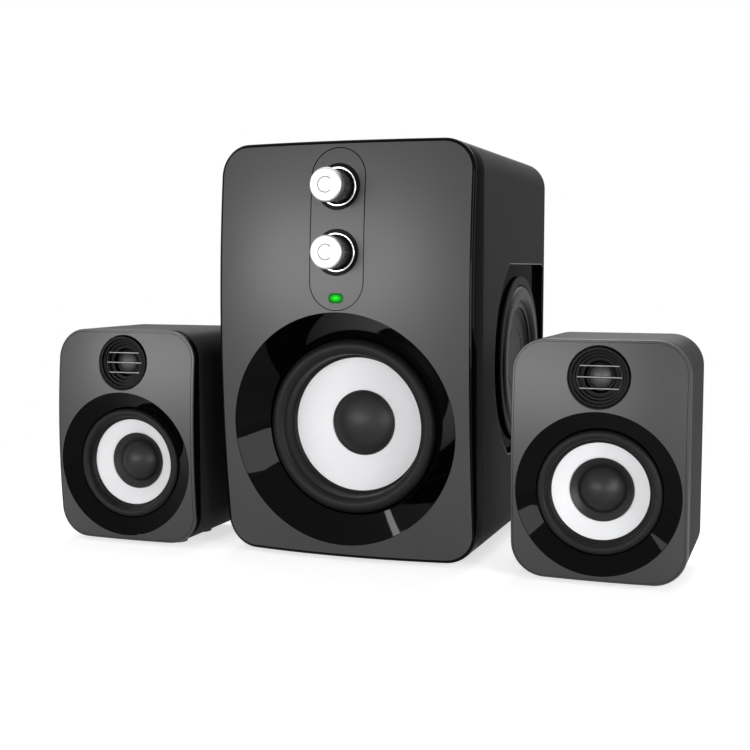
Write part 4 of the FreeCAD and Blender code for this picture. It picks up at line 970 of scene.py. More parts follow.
@dataclass
class Group:
    """Pieces of one cabinet, which ride on one body unless they say otherwise."""

    place: Place
    body: Body

    def matrix(self) -> Matrix:
        """From the group's millimetres to metres in the row."""
        return self.place.matrix()

    def add(self, shape: Shape, name: str, slot: str, *finishes: Finish,
            **options: object) -> bpy.types.Object:
        """Finish a shape as the piece that stands for the CAD node of its name.

        Args:
            shape: The shape.
            name: Name of the piece and of the node.
            slot: Record's material slot.
            finishes: Finish of each of the piece's own slots.
            options: What piece takes, where it isn't the usual.

        Returns:
            The object.
        """
        return shape.piece(name, finishes, self.matrix(), slot=slot,
                           **{"body": self.body, "nodes": [name], **options})

    def turned(self, profile: Profile, height: float, steps: int, name: str, slot: str, finish: Finish,
               **options: object) -> bpy.types.Object:
        """Turn a profile into a finished piece.

        Args:
            profile: Corners of the section.
            height: Height of the level axis.
            steps: Segments round the turn.
            name: CAD node that the piece stands for.
            slot: Record's material slot.
            finish: Its finish.
            options: What add takes.

        Returns:
            The object.
        """
        shape = Shape()
        shape.lathe(profile, (0.0, height), steps)
        return self.add(shape, name, slot, finish, **options)

    def sectors(self, profile: Profile, radii: Pair, matrix: Matrix, name: str, slot: str,
                finish: Finish, moving: Body, count: int = 12) -> None:
        """Ring in sectors, each a piece of its own that rides on no body.

        Args:
            profile: Corners of the section.
            radii: Two radii at which a point on each sector's middle is worked out; the points are not
                used.
            matrix: From the ring's own millimetres, with its axis along y, to metres in the row.
            name: CAD node that the ring stands for.
            slot: Record's material slot.
            finish: Its finish.
            moving: The moving body; not used.
            count: How many pieces share the ring.
        """
        angle = math.tau / count
        for index in range(count):
            shape = Shape()
            shape.lathe(profile, steps=12, sweep=(index * angle, angle))
            made = shape.piece(f"{name}_{index + 1:02d}", [finish], matrix, None, slot,
                               [] if index else [name], weighted=False)
            out = Matrix.Rotation((index + 0.5) * angle, 4, "Y") @ RIGHT
            start, end = (tuple(matrix @ (out * radius)) for radius in radii)
            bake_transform(made)


# ---------------------------------------------------------------- cabinets

@dataclass(frozen=True)
class Pillow:
    """The curved front of a cabinet: an arc across, swept about a level axis behind it."""

    up: float
    across: float
    crown: float

    def depth(self, x: float, z: float) -> float:
        """Depth of the face at a place."""
        over = self.across - math.sqrt(self.across ** 2 - x ** 2)
        return self.up - math.sqrt((self.up - over) ** 2 - (z - self.crown) ** 2)

    def normal(self, point: Vector) -> Vector:
        """Outward normal of the face.

        Args:
            point: A point on it.

        Returns:
            The normal, of length 1.
        """
        x, z, step = point.x, point.z, 0.5
        right = (self.depth(x + step, z) - self.depth(x - step, z)) / (2 * step)
        rise = (self.depth(x, z + step) - self.depth(x, z - step)) / (2 * step)
        return Vector((right, -1.0, rise)).normalized()


@dataclass(frozen=True)
class Cabinet:
    """Sizes shared by the pieces of one cabinet, in millimetres."""

    width: float
    height: float
    depth: float
    corner: float
    wall: float
    seam: float
    panel: float
    panel_inset: float
    rim: float
    pillow: Pillow


@dataclass(frozen=True)
class Bowl:
    """The black bowl round a driver."""

    height: float
    mouth: float
    throat: float
    throat_depth: float
    ring: float
    wall: float


@dataclass(frozen=True)
class Driver:
    """Sizes of one loudspeaker driver, in millimetres."""

    bowl: Bowl
    roll_base: float
    rubber: float
    ring: float
    ring_depth: float
    neck: float
    neck_depth: float
    paper: float
    cap: float
    cap_inner: float
    cap_rise: float

    def cone_depth(self, radius: float) -> float:
        """Depth of the cone's front at a radius."""
        slope = (self.neck_depth - self.ring_depth) / (self.ring - self.neck)
        return self.ring_depth + slope * (self.ring - radius)


SUBWOOFER = Cabinet(width=135, height=209, depth=168, corner=15.5, wall=5, seam=27, panel=3,
                    panel_inset=1.5, rim=1.5, pillow=Pillow(up=661, across=314, crown=120))
SATELLITE = Cabinet(width=82.7, height=113.8, depth=69.2, corner=15.8, wall=3, seam=11.2, panel=2.5,
                    panel_inset=1.2, rim=1.2, pillow=Pillow(up=407, across=297, crown=56))
WOOFER = Driver(
    Bowl(height=65.7, mouth=59, throat=45.2, throat_depth=21.5, ring=3, wall=2.5), roll_base=23.5,
    rubber=0.8, ring=34.7, ring_depth=32.7, neck=13.4, neck_depth=41.2, paper=1.0, cap=17.2,
    cap_inner=16.4, cap_rise=6)
MIDRANGE = Driver(
    Bowl(height=41.7, mouth=38.7, throat=29.8, throat_depth=7.6, ring=2.2, wall=2), roll_base=8.4,
    rubber=0.7, ring=23.1, ring_depth=12.2, neck=9.4, neck_depth=20.6, paper=0.8, cap=15.3,
    cap_inner=11.6, cap_rise=7)


@dataclass
class FrontMoulding(Group):
    """Front moulding of a cabinet: satin face, gloss rim and band, and its openings."""

    name: str
    cabinet: Cabinet
    bowl: Bowl
    mesh_step: float = 7.0
    mesh_start: Pair = (0.013, 3.017)
    rim_slot: int = 1
    gap: float = 0.08
    gap_depth: float = 0.3
    strip: float = 0.3
    tuck: float = 0.35
    recess: float = 0.05
    mouth_edge: Rounding = (0.3, 0.3, 3)

    def build(self) -> None:
        """Make the face with its openings, then the bowl."""
        cabinet, shape = self.cabinet, Shape()
        self._rim(shape)
        self._openings(shape)
        shape.fill(on_front)
        self._insides(shape)
        columns = int(cabinet.width / 2 / self.mesh_step)
        rows = int(cabinet.height / self.mesh_step)
        for axis, start, cuts in ((0, self.mesh_start[0], range(-columns, columns + 1)),
                                  (2, self.mesh_start[1], range(rows))):
            shape.slice(axis, [self.mesh_step * index + start for index in cuts])
        for vert in shape.bm.verts:
            if vert.co.y < cabinet.seam - 0.6:
                vert.co.y += cabinet.pillow.depth(vert.co.x, vert.co.z)
        self.add(shape, self.name + "_face", "front_moulding", SATIN, GLOSS, BAND,
                 nodes=[self.name + "_front"], bend=cabinet.pillow.normal)
        self._bowl()

    def _rim(self, shape: Shape) -> None:
        """Side band, rounded rim and the fine gap round the satin face.

        Args:
            shape: The moulding's shape.
        """
        c = self.cabinet
        face = shape.outline((c.width, c.height), c.corner, c.rim, c.height / 2, slot=1)
        back = shape.extrude(face.edges[:], (0, c.seam - c.rim - self.strip - self.recess, 0), 2)
        shape.extrude(back, (0, self.strip, 0), 2)
        for vert in [v for v in shape.bm.verts if v.is_boundary and v.co.y > c.seam - 0.2]:
            vert.co.x *= 1 - self.tuck / (c.width / 2)
            vert.co.z += (c.height / 2 - vert.co.z) * self.tuck / (c.height / 2)
            vert.co.y = c.seam - self.recess
        shape.lip(face, c.rim, c.rim, 6, True, self.rim_slot)
        shape.groove(face, self.gap, self.gap, self.gap_depth, self.rim_slot)
        shape.open(face)

    def _openings(self, shape: Shape) -> None:
        """Openings in the face; the bowl's mouth is in every moulding."""
        mouth = shape.disc(self.bowl.mouth + 0.15, (0.0, self.bowl.height), 160)
        shape.pierce(mouth, self.mouth_edge, 1.2, (1, 1))

    def _insides(self, shape: Shape) -> None:
        """Second pass of openings inside an engraved line, if there is one."""

    def _bowl(self) -> None:
        """Gloss bowl: straight walls from the mouth in the curved face to the round throat."""
        b = self.bowl
        shape = Shape()
        end = b.throat_depth + b.ring
        shape.lathe([(b.mouth - 0.1, 0.3), (b.throat, b.throat_depth, 0.5), (b.throat, end),
                     (b.throat + 2.6, end), (b.mouth + b.wall, 2.0), (b.mouth - 0.1, 1.0)],
                    (0.0, b.height), 160)
        shape.slice(1, [b.throat_depth * share for share in (0.2, 0.4, 0.6, 0.8)])
        for vert in shape.bm.verts:
            across, up, radius = about(vert.co, b.height)
            reach = b.mouth / radius
            share = max(0.0, 1 - vert.co.y / b.throat_depth)
            vert.co.y += share * self.cabinet.pillow.depth(across * reach, b.height + up * reach)
        self.add(shape, self.name + "_bowl", "front_moulding", GLOSS, nodes=())


@dataclass
class SubwooferFront(FrontMoulding):
    """Subwoofer moulding: knob openings and light slot inside an engraved line."""

    knobs: Pair = (186.3, 154.2)
    well: float = 11.5
    light: float = 131.8
    light_size: Pair = (7.6, 4.6)
    line_half: float = 14.1
    line_ends: Pair = (125.45, 205.6)
    line_width: float = 0.5
    line_depth: float = 0.4

    def _openings(self, shape: Shape) -> None:
        """Bowl mouth and the engraved line."""
        super()._openings(shape)
        half = self.line_half + self.line_width / 2
        low, high = self.line_ends
        face = shape.outline((2 * half, high - low), half - 0.01, 0.0, (low + high) / 2, 22)
        shape.groove(face, 0.1, self.line_width - 0.2, self.line_depth, 1)
        face.select_set(True)

    def _insides(self, shape: Shape) -> None:
        """Knob openings and light slot, filled round inside the engraved line."""
        face = next(f for f in shape.bm.faces if f.select)
        face.select_set(False)
        shape.open(face)
        for height in self.knobs:
            shape.pierce(shape.disc(self.well + 0.1, (0.0, height)), (0.15, 0.15, 2), 1.5)
        width, tall = self.light_size
        slot = shape.outline((width + 0.3, tall + 0.3), tall / 2, 0.0, self.light, 10)
        shape.step_in(slot, 0.05, 1.2, 1)
        shape.open(slot)
        shape.fill(on_front)


@dataclass
class SatelliteFront(FrontMoulding):
    """Satellite moulding: tweeter opening with a rounded edge, and a satin rim."""

    rim_slot: int = 0
    tweeter: float = 96.3
    opening: float = 14.2
    rounding: Pair = (1.25, 1.8)

    def _openings(self, shape: Shape) -> None:
        """Bowl mouth and tweeter opening."""
        super()._openings(shape)
        hole = shape.disc(self.opening + self.rounding[0], (0.0, self.tweeter))
        shape.pierce(hole, (*self.rounding, 7), 0.8, (0, 1))


@dataclass
class Case(Group):
    """Sleeve behind the moulding, open at both ends, with softened edges."""

    name: str
    slot: str
    cabinet: Cabinet
    edge: float = 0.5

    def build(self) -> None:
        """Make the sleeve."""
        c, edge, shape = self.cabinet, self.edge, Shape()
        front = shape.outline((c.width, c.height), c.corner, c.seam + edge, c.height / 2)
        back_edges = shape.extrude(front.edges[:], (0, c.depth - c.seam - 2 * edge, 0))
        shape.lip(front, edge, edge, 3, True)
        shape.step_in(front, c.wall - edge, 0.0)
        back = bmesh.ops.contextual_create(shape.bm, geom=back_edges)["faces"][0]
        turn_to(back, -FRONT)
        shape.lip(back, edge, edge, 4, True)
        shape.step_in(back, c.wall - 2 * edge, 0.0)
        shape.lip(back, edge, edge, 3)
        ends = front.edges[:] + back.edges[:]
        shape.open(front, back)
        bmesh.ops.bridge_loops(shape.bm, edges=ends)
        self._side(shape)
        face_outwards(shape.bm)
        self.add(shape, self.name, self.slot, CASE, BAND, GLOSS)

    def _side(self, shape: Shape) -> None:
        """Changes to the side wall, if there are any."""


@dataclass
class SubwooferCase(Case):
    """Subwoofer sleeve with the D-shaped pocket of the side radiator."""

    centre: Pair = (108.0, 97.5)
    radius: float = 57.0
    share: float = 0.895
    back: float = 165.0
    corner: float = 5.0
    tip: float = 1.5
    sink: float = 3.5
    soft: float = 0.7
    hole: Triple = (115.0, 96.0, 39.0)

    def _side(self, shape: Shape) -> None:
        """Cut the pocket into the flat right wall.

        Args:
            shape: The sleeve's shape.
        """
        x = self.cabinet.width / 2
        floor, lining = x - self.sink, x - self.cabinet.wall
        self._open_wall(shape, x)
        shape.pierce(self._outline(shape, x), (self.soft, self.soft, 5), self.sink - self.soft, (2, 1))
        shape.fill(lambda p: abs(p.x - x) < NEAR, RIGHT)
        matrix = Matrix.Translation((floor, *self.hole[:2])) @ Matrix.Rotation(math.pi / 2, 4, "Y")
        bmesh.ops.create_circle(shape.bm, cap_ends=False, radius=self.hole[2], segments=96, matrix=matrix)
        shape.fill(lambda p: abs(p.x - floor) < 2 * NEAR, RIGHT, 1)
        rim = [e for e in shape.bm.edges if len(e.link_faces) == 1 and stands_at(e, floor, 2 * NEAR)]
        shape.extrude(rim, (lining - floor, 0, 0), 1)
        self._open_wall(shape, lining)
        shape.fill(lambda p: abs(p.x - lining) < 2 * NEAR, RIGHT)

    @staticmethod
    def _open_wall(shape: Shape, x: float) -> None:
        """Take out the side wall's face at x."""
        shape.open(next(f for f in shape.bm.faces if f.calc_area() > WIDE and stands_at(f, x)))

    def _outline(self, shape: Shape, x: float) -> BMFace:
        """The pocket's outline on the wall: an arc in front, square behind.

        Args:
            shape: The sleeve's shape.
            x: Where the wall stands.

        Returns:
            The face inside the outline.
        """
        depth, height = self.centre
        reach, half = self.radius + self.soft, self.radius * self.share + self.soft
        angle = math.asin(half / reach)
        known = set(shape.bm.faces)
        part = bmesh.new()
        start = part.verts.new((0.0, depth - reach * math.cos(angle), height + half))
        spin(part, [start], 2 * angle, 40, centre=(0.0, depth, height), axis=(1, 0, 0))
        ends = sorted((v for v in part.verts if len(v.link_edges) == 1), key=lambda v: v.co.z)
        behind = [part.verts.new((0.0, self.back + self.soft, end.co.z)) for end in ends]
        for pair in ((ends[0], behind[0]), behind, (behind[1], ends[1])):
            part.edges.new(pair)
        bmesh.ops.contextual_create(part, geom=part.edges[:])
        for verts, radius, steps in ((behind, self.corner, 8), (ends, self.tip, 3)):
            for vert in verts:
                round_corner(part, vert, radius, steps)
        shape.absorb(part, Matrix.Translation((x, 0, 0)), 1)
        return shape.newest(known, 1, RIGHT)


@dataclass
class RearPanel(Group):
    """Flat rear panel with a softened edge, a shallow frame, and holes with plated collars."""

    name: str
    cabinet: Cabinet
    holes: tuple[Triple, ...]
    edge: float = 0.5
    frame_inset: float = 9.0
    frame_groove: Triple = (0.25, 0.5, 0.3)
    gap: float = 0.2
    clearance: float = 0.25
    hole_edge: Rounding = (0.3, 0.3, 3)
    collar: Pair = (1.7, 0.9)
    collar_foot: float = 0.6
    collar_round: float = 0.3

    def build(self) -> None:
        """Make the panel and the collars."""
        c, shape = self.cabinet, Shape()
        inner = c.wall + self.gap
        face = shape.outline((c.width - 2 * inner, c.height - 2 * inner), max(c.corner - inner, 1.0),
                             self.edge, c.height / 2)
        border = face.edges[:]
        shape.lip(face, self.edge, self.edge, 4, True)
        shape.step_in(face, self.frame_inset, 0.0)
        shape.groove(face, *self.frame_groove)
        shape.open(face)
        for x, z, radius in self.holes:
            hole = shape.disc(radius + self.clearance, (-x, z), 48)
            shape.pierce(hole, self.hole_edge, c.panel - 0.35, (None, None))
        shape.fill(on_front)
        shape.extrude(border, (0, c.panel - self.edge, 0))
        collars = Shape()
        (wide, proud), foot, soft = self.collar, self.collar_foot, self.collar_round
        for x, z, radius in self.holes:
            bore, sleeve, seat = radius + 0.1, radius + 0.1 + 0.12, -0.02
            collars.lathe([(bore, foot), (bore, -proud, soft), (bore + wide, -proud, soft),
                           (bore + wide, seat), (sleeve, seat), (sleeve, foot)], (-x, z), 48)
        turn = Matrix.Translation((0, c.depth - c.panel_inset, 0)) @ Matrix.Rotation(math.pi, 4, "Z")
        shape.bm.transform(turn)
        collars.bm.transform(turn)
        self.add(shape, self.name + "_panel", "rear_panel", PANEL)
        self.add(collars, self.name + "_collars", "rear_panel", STEEL, nodes=())


@dataclass
class RearScrews(Group):
    """Four pan-head screws with cross recesses that hold the rear panel."""

    name: str
    head: float = 3.0
    rise: float = 1.1
    shank: float = 1.4
    length: float = 9.0
    point: float = 0.35
    arm: Triple = (1.5, 0.32, 0.75)
    margin: float = 0.35
    taper: float = 0.75
    top: Pair = (0.8, 0.12)
    crown: Pair = (0.95, 0.35)
    brim: Pair = (1.0, 0.65)
    segments: int = 20

    def build(self) -> None:
        """Make the four screws as one piece."""
        low, high = self.place.box(self.name)
        shape = Shape()
        for x in (low.x + self.head, high.x - self.head):
            for z in (low.z + self.head, high.z - self.head):
                turn = Matrix.Translation((x, high.y, z)) @ Matrix.Rotation(-math.pi / 2, 4, "X")
                shape.absorb(self._screw(), turn)
        self.add(shape, self.name, "screws", SCREW)

    def _screw(self) -> BMesh:
        """One screw, upright: crowned head with a cross recess, and its shank.

        Returns:
            The mesh, with the top of the head at the origin.
        """
        part = Shape()
        reach, half, sink = self.arm
        bmesh.ops.create_grid(part.bm, x_segments=1, y_segments=1, size=reach + self.margin)
        for axis in (0, 1):
            part.slice(axis, [-reach, -half, half, reach])
        arms = []
        for face in part.bm.faces:
            near, far = sorted(abs(c) for c in face.calc_center_median()[:2])
            if near < half and far < reach:
                arms.append(face)
        sunk = corners(bmesh.ops.extrude_face_region(part.bm, geom=arms)["geom"])
        part.open(*arms)
        bmesh.ops.translate(part.bm, verts=sunk, vec=(0, 0, -sink))
        bmesh.ops.scale(part.bm, verts=sunk, vec=(self.taper, self.taper, 1.0))
        inner = [e for e in part.bm.edges if e.is_boundary]
        bmesh.ops.create_circle(part.bm, cap_ends=False, radius=self.head * self.top[0],
                                segments=self.segments, matrix=Matrix.Translation((0, 0, -self.top[1])))
        outer = [e for e in part.bm.edges if e.is_wire]
        bmesh.ops.bridge_loops(part.bm, edges=inner + outer)
        end = self.rise + self.length
        rounds = [(self.head * share, depth) for share, depth in (self.crown, self.brim)]
        for radius, depth in (*rounds, (self.head, self.rise), (self.shank, self.rise),
                              (self.shank, end - 1), (self.point, end)):
            outer = part.extrude(outer)
            for vert in {v for e in outer for v in e.verts}:
                flat = Vector((vert.co.x, vert.co.y, 0)).normalized() * radius
                vert.co = (flat.x, flat.y, -depth)
        bmesh.ops.contextual_create(part.bm, geom=outer)
        face_outwards(part.bm)
        return part.bm


@dataclass
class Feet(Group):
    """Four round rubber feet with a soft edge and a shallow cup below."""

    name: str
    radius: float = 6.0
    cup: Pair = (2.6, 2.0)
    cup_depth: float = 0.3
    soft: float = 0.6
    draft: float = 0.25

    def build(self) -> None:
        """Make the four feet as one piece."""
        low, high = self.place.box(self.name)
        tall, r, deep = high.z - low.z, self.radius, self.cup_depth
        shape = Shape()
        for x in (low.x + r, high.x - r):
            for y in (low.y + r, high.y - r):
                part = Shape()
                part.lathe([(0, deep), (r - self.cup[0], deep, 0.3), (r - self.cup[1], 0, 0.3),
                            (r, 0, self.soft), (r - self.draft, tall), (0, tall)], steps=48)
                turn = Matrix.Translation((x, y, low.z)) @ Matrix.Rotation(math.pi / 2, 4, "X")
                shape.absorb(part.bm, turn)
        self.add(shape, self.name, "feet", FEET)


# ---------------------------------------------------------------- drivers

@dataclass
class DriverPieces(Group):
    """Visible pieces of one driver: surround, cone and dust cap."""

    moving: Body
    prefix: str
    driver: Driver
    glue: float = 0.3
    roll_inset: Pair = (0.3, 2.4)
    foot: float = 1.6
    tip: float = 0.1
    flange: float = 0.9
    cone_edge: float = 1.5
    crisp: float = 0.2
    steps: int = 128

    def build(self) -> None:
        """Make every piece."""
        self._surround()
        self._cone()
        self._cap()

    def _surround(self) -> None:
        """Half-round rubber ring whose inner leg follows the cone."""
        d, thick = self.driver, self.driver.rubber
        outer, inner = d.bowl.throat - self.roll_inset[0], d.ring + self.roll_inset[1]
        half = (outer - inner) / 2
        foot, tip = d.ring + self.foot, d.ring + self.tip
        crest, back = d.roll_base - half, d.roll_base + self.flange
        seat, end, rest = (d.cone_depth(r) - self.glue for r in (foot + thick, d.ring, foot))
        made = self.turned([
            (outer, back), (outer, crest, half), (inner, crest, half), (foot, rest - thick, 0.7),
            (tip, end - thick * 0.8, 0.3), (tip, end), (foot + thick, seat),
            (inner + thick, crest + thick, half - thick), (outer - thick, crest + thick, half - thick),
            (outer - thick, back),
        ], d.bowl.height, self.steps, self.prefix + "_surround", "surround", ROLL, body=None,
            weighted=False)
        self.place.point(0, d.roll_base + 0.2, 0)
        self.place.point(0, rest - thick, 0)
        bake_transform(made)

    def _cone(self) -> None:
        """White cone with a rolled edge."""
        d = self.driver
        edge = d.ring + self.cone_edge
        paper = ConePaper(self.prefix + "_paper", self.place.point(0, 0, d.bowl.height))
        self.turned([
            (edge, d.cone_depth(edge), self.crisp), (d.neck, d.neck_depth, self.crisp),
            (d.neck, d.neck_depth + d.paper), (edge, d.cone_depth(edge) + d.paper),
        ], d.bowl.height, self.steps, self.prefix + "_cone", "cone", paper, body=self.moving)

    def _cap(self) -> None:
        """Domed cap with a thin brim on the cone."""
        d, thick = self.driver, self.driver.rubber
        brim, root = (d.cone_depth(radius) - self.glue for radius in (d.cap, d.cap_inner))
        inner = d.cap_inner - thick
        self.turned([
            (d.cap, brim), (inner, root), *dome(inner, d.cap_rise - thick, root),
            *dome(d.cap_inner, d.cap_rise, root)[::-1], (d.cap_inner, root - 0.25, 0.25),
            (d.cap, brim - thick, 0.3),
        ], d.bowl.height, 96, self.prefix + "_dust_cap", "dust_cap", CAP, body=self.moving, weighted=False)


@dataclass
class WooferPieces(DriverPieces):
    """The woofer's pieces, with the spider that shows round its coil."""

    waves: int = 6
    cloth: float = 0.5

    def build(self) -> None:
        """Make every piece, then the corrugated cloth ring behind the cone."""
        super().build()
        name, thick = self.prefix + "_spider", self.cloth
        low, high = self.place.box(name)
        outer, inner = (high.x - low.x) / 2, self.driver.neck - 0.1
        front, back = low.y, high.y
        pitch = (outer - inner) / self.waves
        face, rear = [], []
        for index in range(self.waves):
            start = inner + index * pitch
            crest, trough = start + pitch * 0.25, start + pitch * 0.75
            face += [(crest, front, 0.5), (trough, back - thick, 0.5)]
            rear += [(crest, front + thick, 0.5), (trough, back, 0.5)]
        profile = [(inner, back - thick), *face, (outer, back - thick), (outer, back), *rear[::-1],
                   (inner, back)]
        matrix = self.matrix() @ Matrix.Translation((0, 0, self.driver.bowl.height))
        self.sectors(profile, (outer - 1.0, inner + 1.0), matrix, name, "spider", CLOTH, self.moving)


@dataclass
class Tweeter(Group):
    """Tweeter of a satellite: stepped cup, dome and wire guard."""

    moving: Body
    prefix: str
    height: float = 96.3
    mouth: float = 14.0
    rim: float = 2.4
    steps: int = 3
    step: Pair = (1.5, 1.3)
    floor: float = 8.8
    lean: float = 0.1
    lap: Pair = (1.9, 1.2)
    slot: Pair = (0.3, 0.8)
    dome: Triple = (5.6, 2.8, 0.4)
    seat: float = 0.3
    coil: float = 2.4
    back: float = 14.0
    guard: Triple = (10.5, 0.34, 5.3)

    def build(self) -> None:
        """Make the cup, the dome and the guard."""
        self._cup()
        self._dome()
        self._guard()

    def _cup(self) -> None:
        """Concentric steps down to the floor round the dome."""
        wide, drop = self.step
        profile = [(self.mouth, self.back), (self.mouth, self.rim, 0.2)]
        for index in range(self.steps):
            radius, top = self.mouth - (index + 1) * wide, self.rim + index * drop
            profile += [(radius, top, 0.35), (radius - self.lean, top + drop, 0.25)]
        size, floor = self.dome[0], self.floor
        end, outer, inner = floor + self.coil + self.seat, size + self.slot[0], size - self.slot[1]
        profile += [(size + self.lap[0], self.rim + self.steps * drop, 0.5),
                    (size + self.lap[1], floor, 0.3), (outer, floor), (outer, end), (inner, end),
                    (inner, floor), (0, floor), (0, self.back)]
        shape = Shape()
        shape.lathe(profile, (0.0, self.height))
        shape.bm.normal_update()
        # Upright walls take the darker copy, painted shade; faces that look to the front keep the lighter
        # tweeter plastic.
        for face in shape.bm.faces:
            face.material_index = int(abs(face.normal.y) < 0.7)
        self.add(shape, self.prefix + "_tweeter_body", "tweeter_body", TWEETER, PAINTED_SHADE_WALLS)

    def _dome(self) -> None:
        """Foil dome with its former."""
        size, rise, foil = self.dome
        base, end = self.floor - self.seat, self.floor - self.seat + self.coil
        self.turned([
            (size, end), (size, base), *dome(size, rise + foil, base),
            *dome(size - foil, rise, base)[::-1], (size - foil, base), (size - foil, end),
        ], self.height, 64, self.prefix + "_tweeter_dome", "tweeter_dome", FOIL, body=self.moving,
            weighted=False)

    def _guard(self) -> None:
        """Three level wires joined by an arc at each end, on four small pegs."""
        ring, wire, pitch = self.guard
        depth = self.rim + (self.steps - 1) * self.step[1] - 0.7
        angle = math.asin(pitch / ring)
        shape = Shape()
        for side in (0.0, math.pi):
            part = bmesh.new()
            turn = Matrix.Rotation(angle + side, 4, "Y") @ Matrix.Translation((ring, 0, 0))
            bmesh.ops.create_circle(part, cap_ends=True, radius=wire, segments=12, matrix=turn)
            spin(part, everything(part), -2 * angle, 14)
            face_outwards(part)
            shape.absorb(part, Matrix.Translation((0, depth, self.height)), 1)
        for step in (-1, 0, 1):
            reach = math.sqrt(ring ** 2 - (step * pitch) ** 2)
            height = self.height + step * pitch
            self._rod(shape, (-reach, depth, height), Vector((2 * reach, 0, 0)))
            for side in (-1, 1) if step else ():
                self._rod(shape, (side * reach, depth, height), Vector((0, 1.0, 0)))
        self.add(shape, self.prefix + "_tweeter_guard", "tweeter_guard", WIRE, GRIP, weighted=False)

    def _rod(self, shape: Shape, start: Triple, along: Vector) -> None:
        """Round wire.

        Args:
            shape: The guard's shape.
            start: One end.
            along: From there to the other end.
        """
        part = bmesh.new()
        turn = along.to_track_quat("Z", "Y").to_matrix().to_4x4()
        bmesh.ops.create_circle(part, cap_ends=True, radius=self.guard[1], segments=12, matrix=turn)
        made = bmesh.ops.extrude_face_region(part, geom=part.faces[:])["geom"]
        bmesh.ops.translate(part, verts=corners(made), vec=along)
        face_outwards(part)
        shape.absorb(part, Matrix.Translation(start))


@dataclass
class SideRadiator(Group):
    """Passive radiator in the pocket: frame, rubber roll in sectors and dished plate."""

    moving: Body
    name: str = "side_radiator"
    width: float = 135.0
    axis: Pair = (115.0, 96.0)
    sink: float = 3.5
    frame_ring: Triple = (46.0, 41.0, 1.2)
    roll_inner: float = 32.2
    crest: float = 0.3
    rubber: float = 0.8
    hem: Pair = (1.2, 2.4)
    plate: Triple = (31.0, 2.5, 1.2)
    groove: Pair = (14.5, 13.3)
    dish: Pair = (4.2, 2.6)
    back_dish: Pair = (4.5, 3.0)
    steps: int = 128

    def matrix(self) -> Matrix:
        """From a frame with y inwards from the wall to metres in the row."""
        return super().matrix() @ Matrix.Translation((self.width / 2, *self.axis)) \
            @ Matrix.Rotation(math.pi / 2, 4, "Z")

    def build(self) -> None:
        """Make the frame, the roll and the plate."""
        outer, inner, thick = self.frame_ring
        flange = self.sink - self.rubber
        self.turned([(inner, flange), (inner, flange - thick, 0.7), (outer, flange - thick, 0.7),
                     (outer, flange)], 0.0, self.steps, self.name + "_frame", "radiator_frame", FRAME)
        self._roll(inner - 0.3, self.roll_inner, flange)
        self._plate()

    def _roll(self, outer: float, inner: float, flange: float) -> None:
        """Half-round rubber in sectors, each a piece of its own that rides on no body.

        Args:
            outer: Outer radius of the roll.
            inner: Inner radius of the roll.
            flange: Depth of its glued edges.
        """
        half, thick, crest, sink = (outer - inner) / 2, self.rubber, self.crest, self.sink
        hem, glued = outer + self.hem[0], self.plate[0] - self.hem[1]
        profile = [
            (hem, flange), (outer, flange, 0.3), (outer - 0.4, crest, half - 1.2),
            (inner + 0.4, crest, half - 1.2), (inner, flange, 0.3), (glued, flange, 0.2), (glued, sink),
            (inner + thick * 0.6, sink), (inner + thick + 0.3, crest + thick, half - 2),
            (outer - thick - 0.3, crest + thick, half - 2), (outer - thick * 0.6, sink), (hem, sink),
        ]
        self.sectors(profile, (outer - 1.0, inner + 1.0), self.matrix(), self.name + "_surround",
                     "surround", ROLL, self.moving)

    def _plate(self) -> None:
        """Dished plate with a raised rim and a shallow ring groove."""
        radius, thick, dish = self.plate
        front = self.sink + 0.3
        floor = front + dish
        one, two = (radius - inset for inset in self.groove)
        self.turned([
            (0, floor), (one, floor, 0.3), (one + 0.3, floor + 0.3, 0.2), (two - 0.3, floor + 0.3, 0.2),
            (two, floor, 0.3), (radius - self.dish[0], floor, 1.0), (radius - self.dish[1], front, 0.5),
            (radius, front, 0.3), (radius, front + thick), (radius - self.back_dish[1], front + thick),
            (radius - self.back_dish[0], floor + thick), (0, floor + thick),
        ], 0.0, self.steps, self.name + "_plate", "radiator_plate", PLATE, body=self.moving)


# ---------------------------------------------------------------- controls

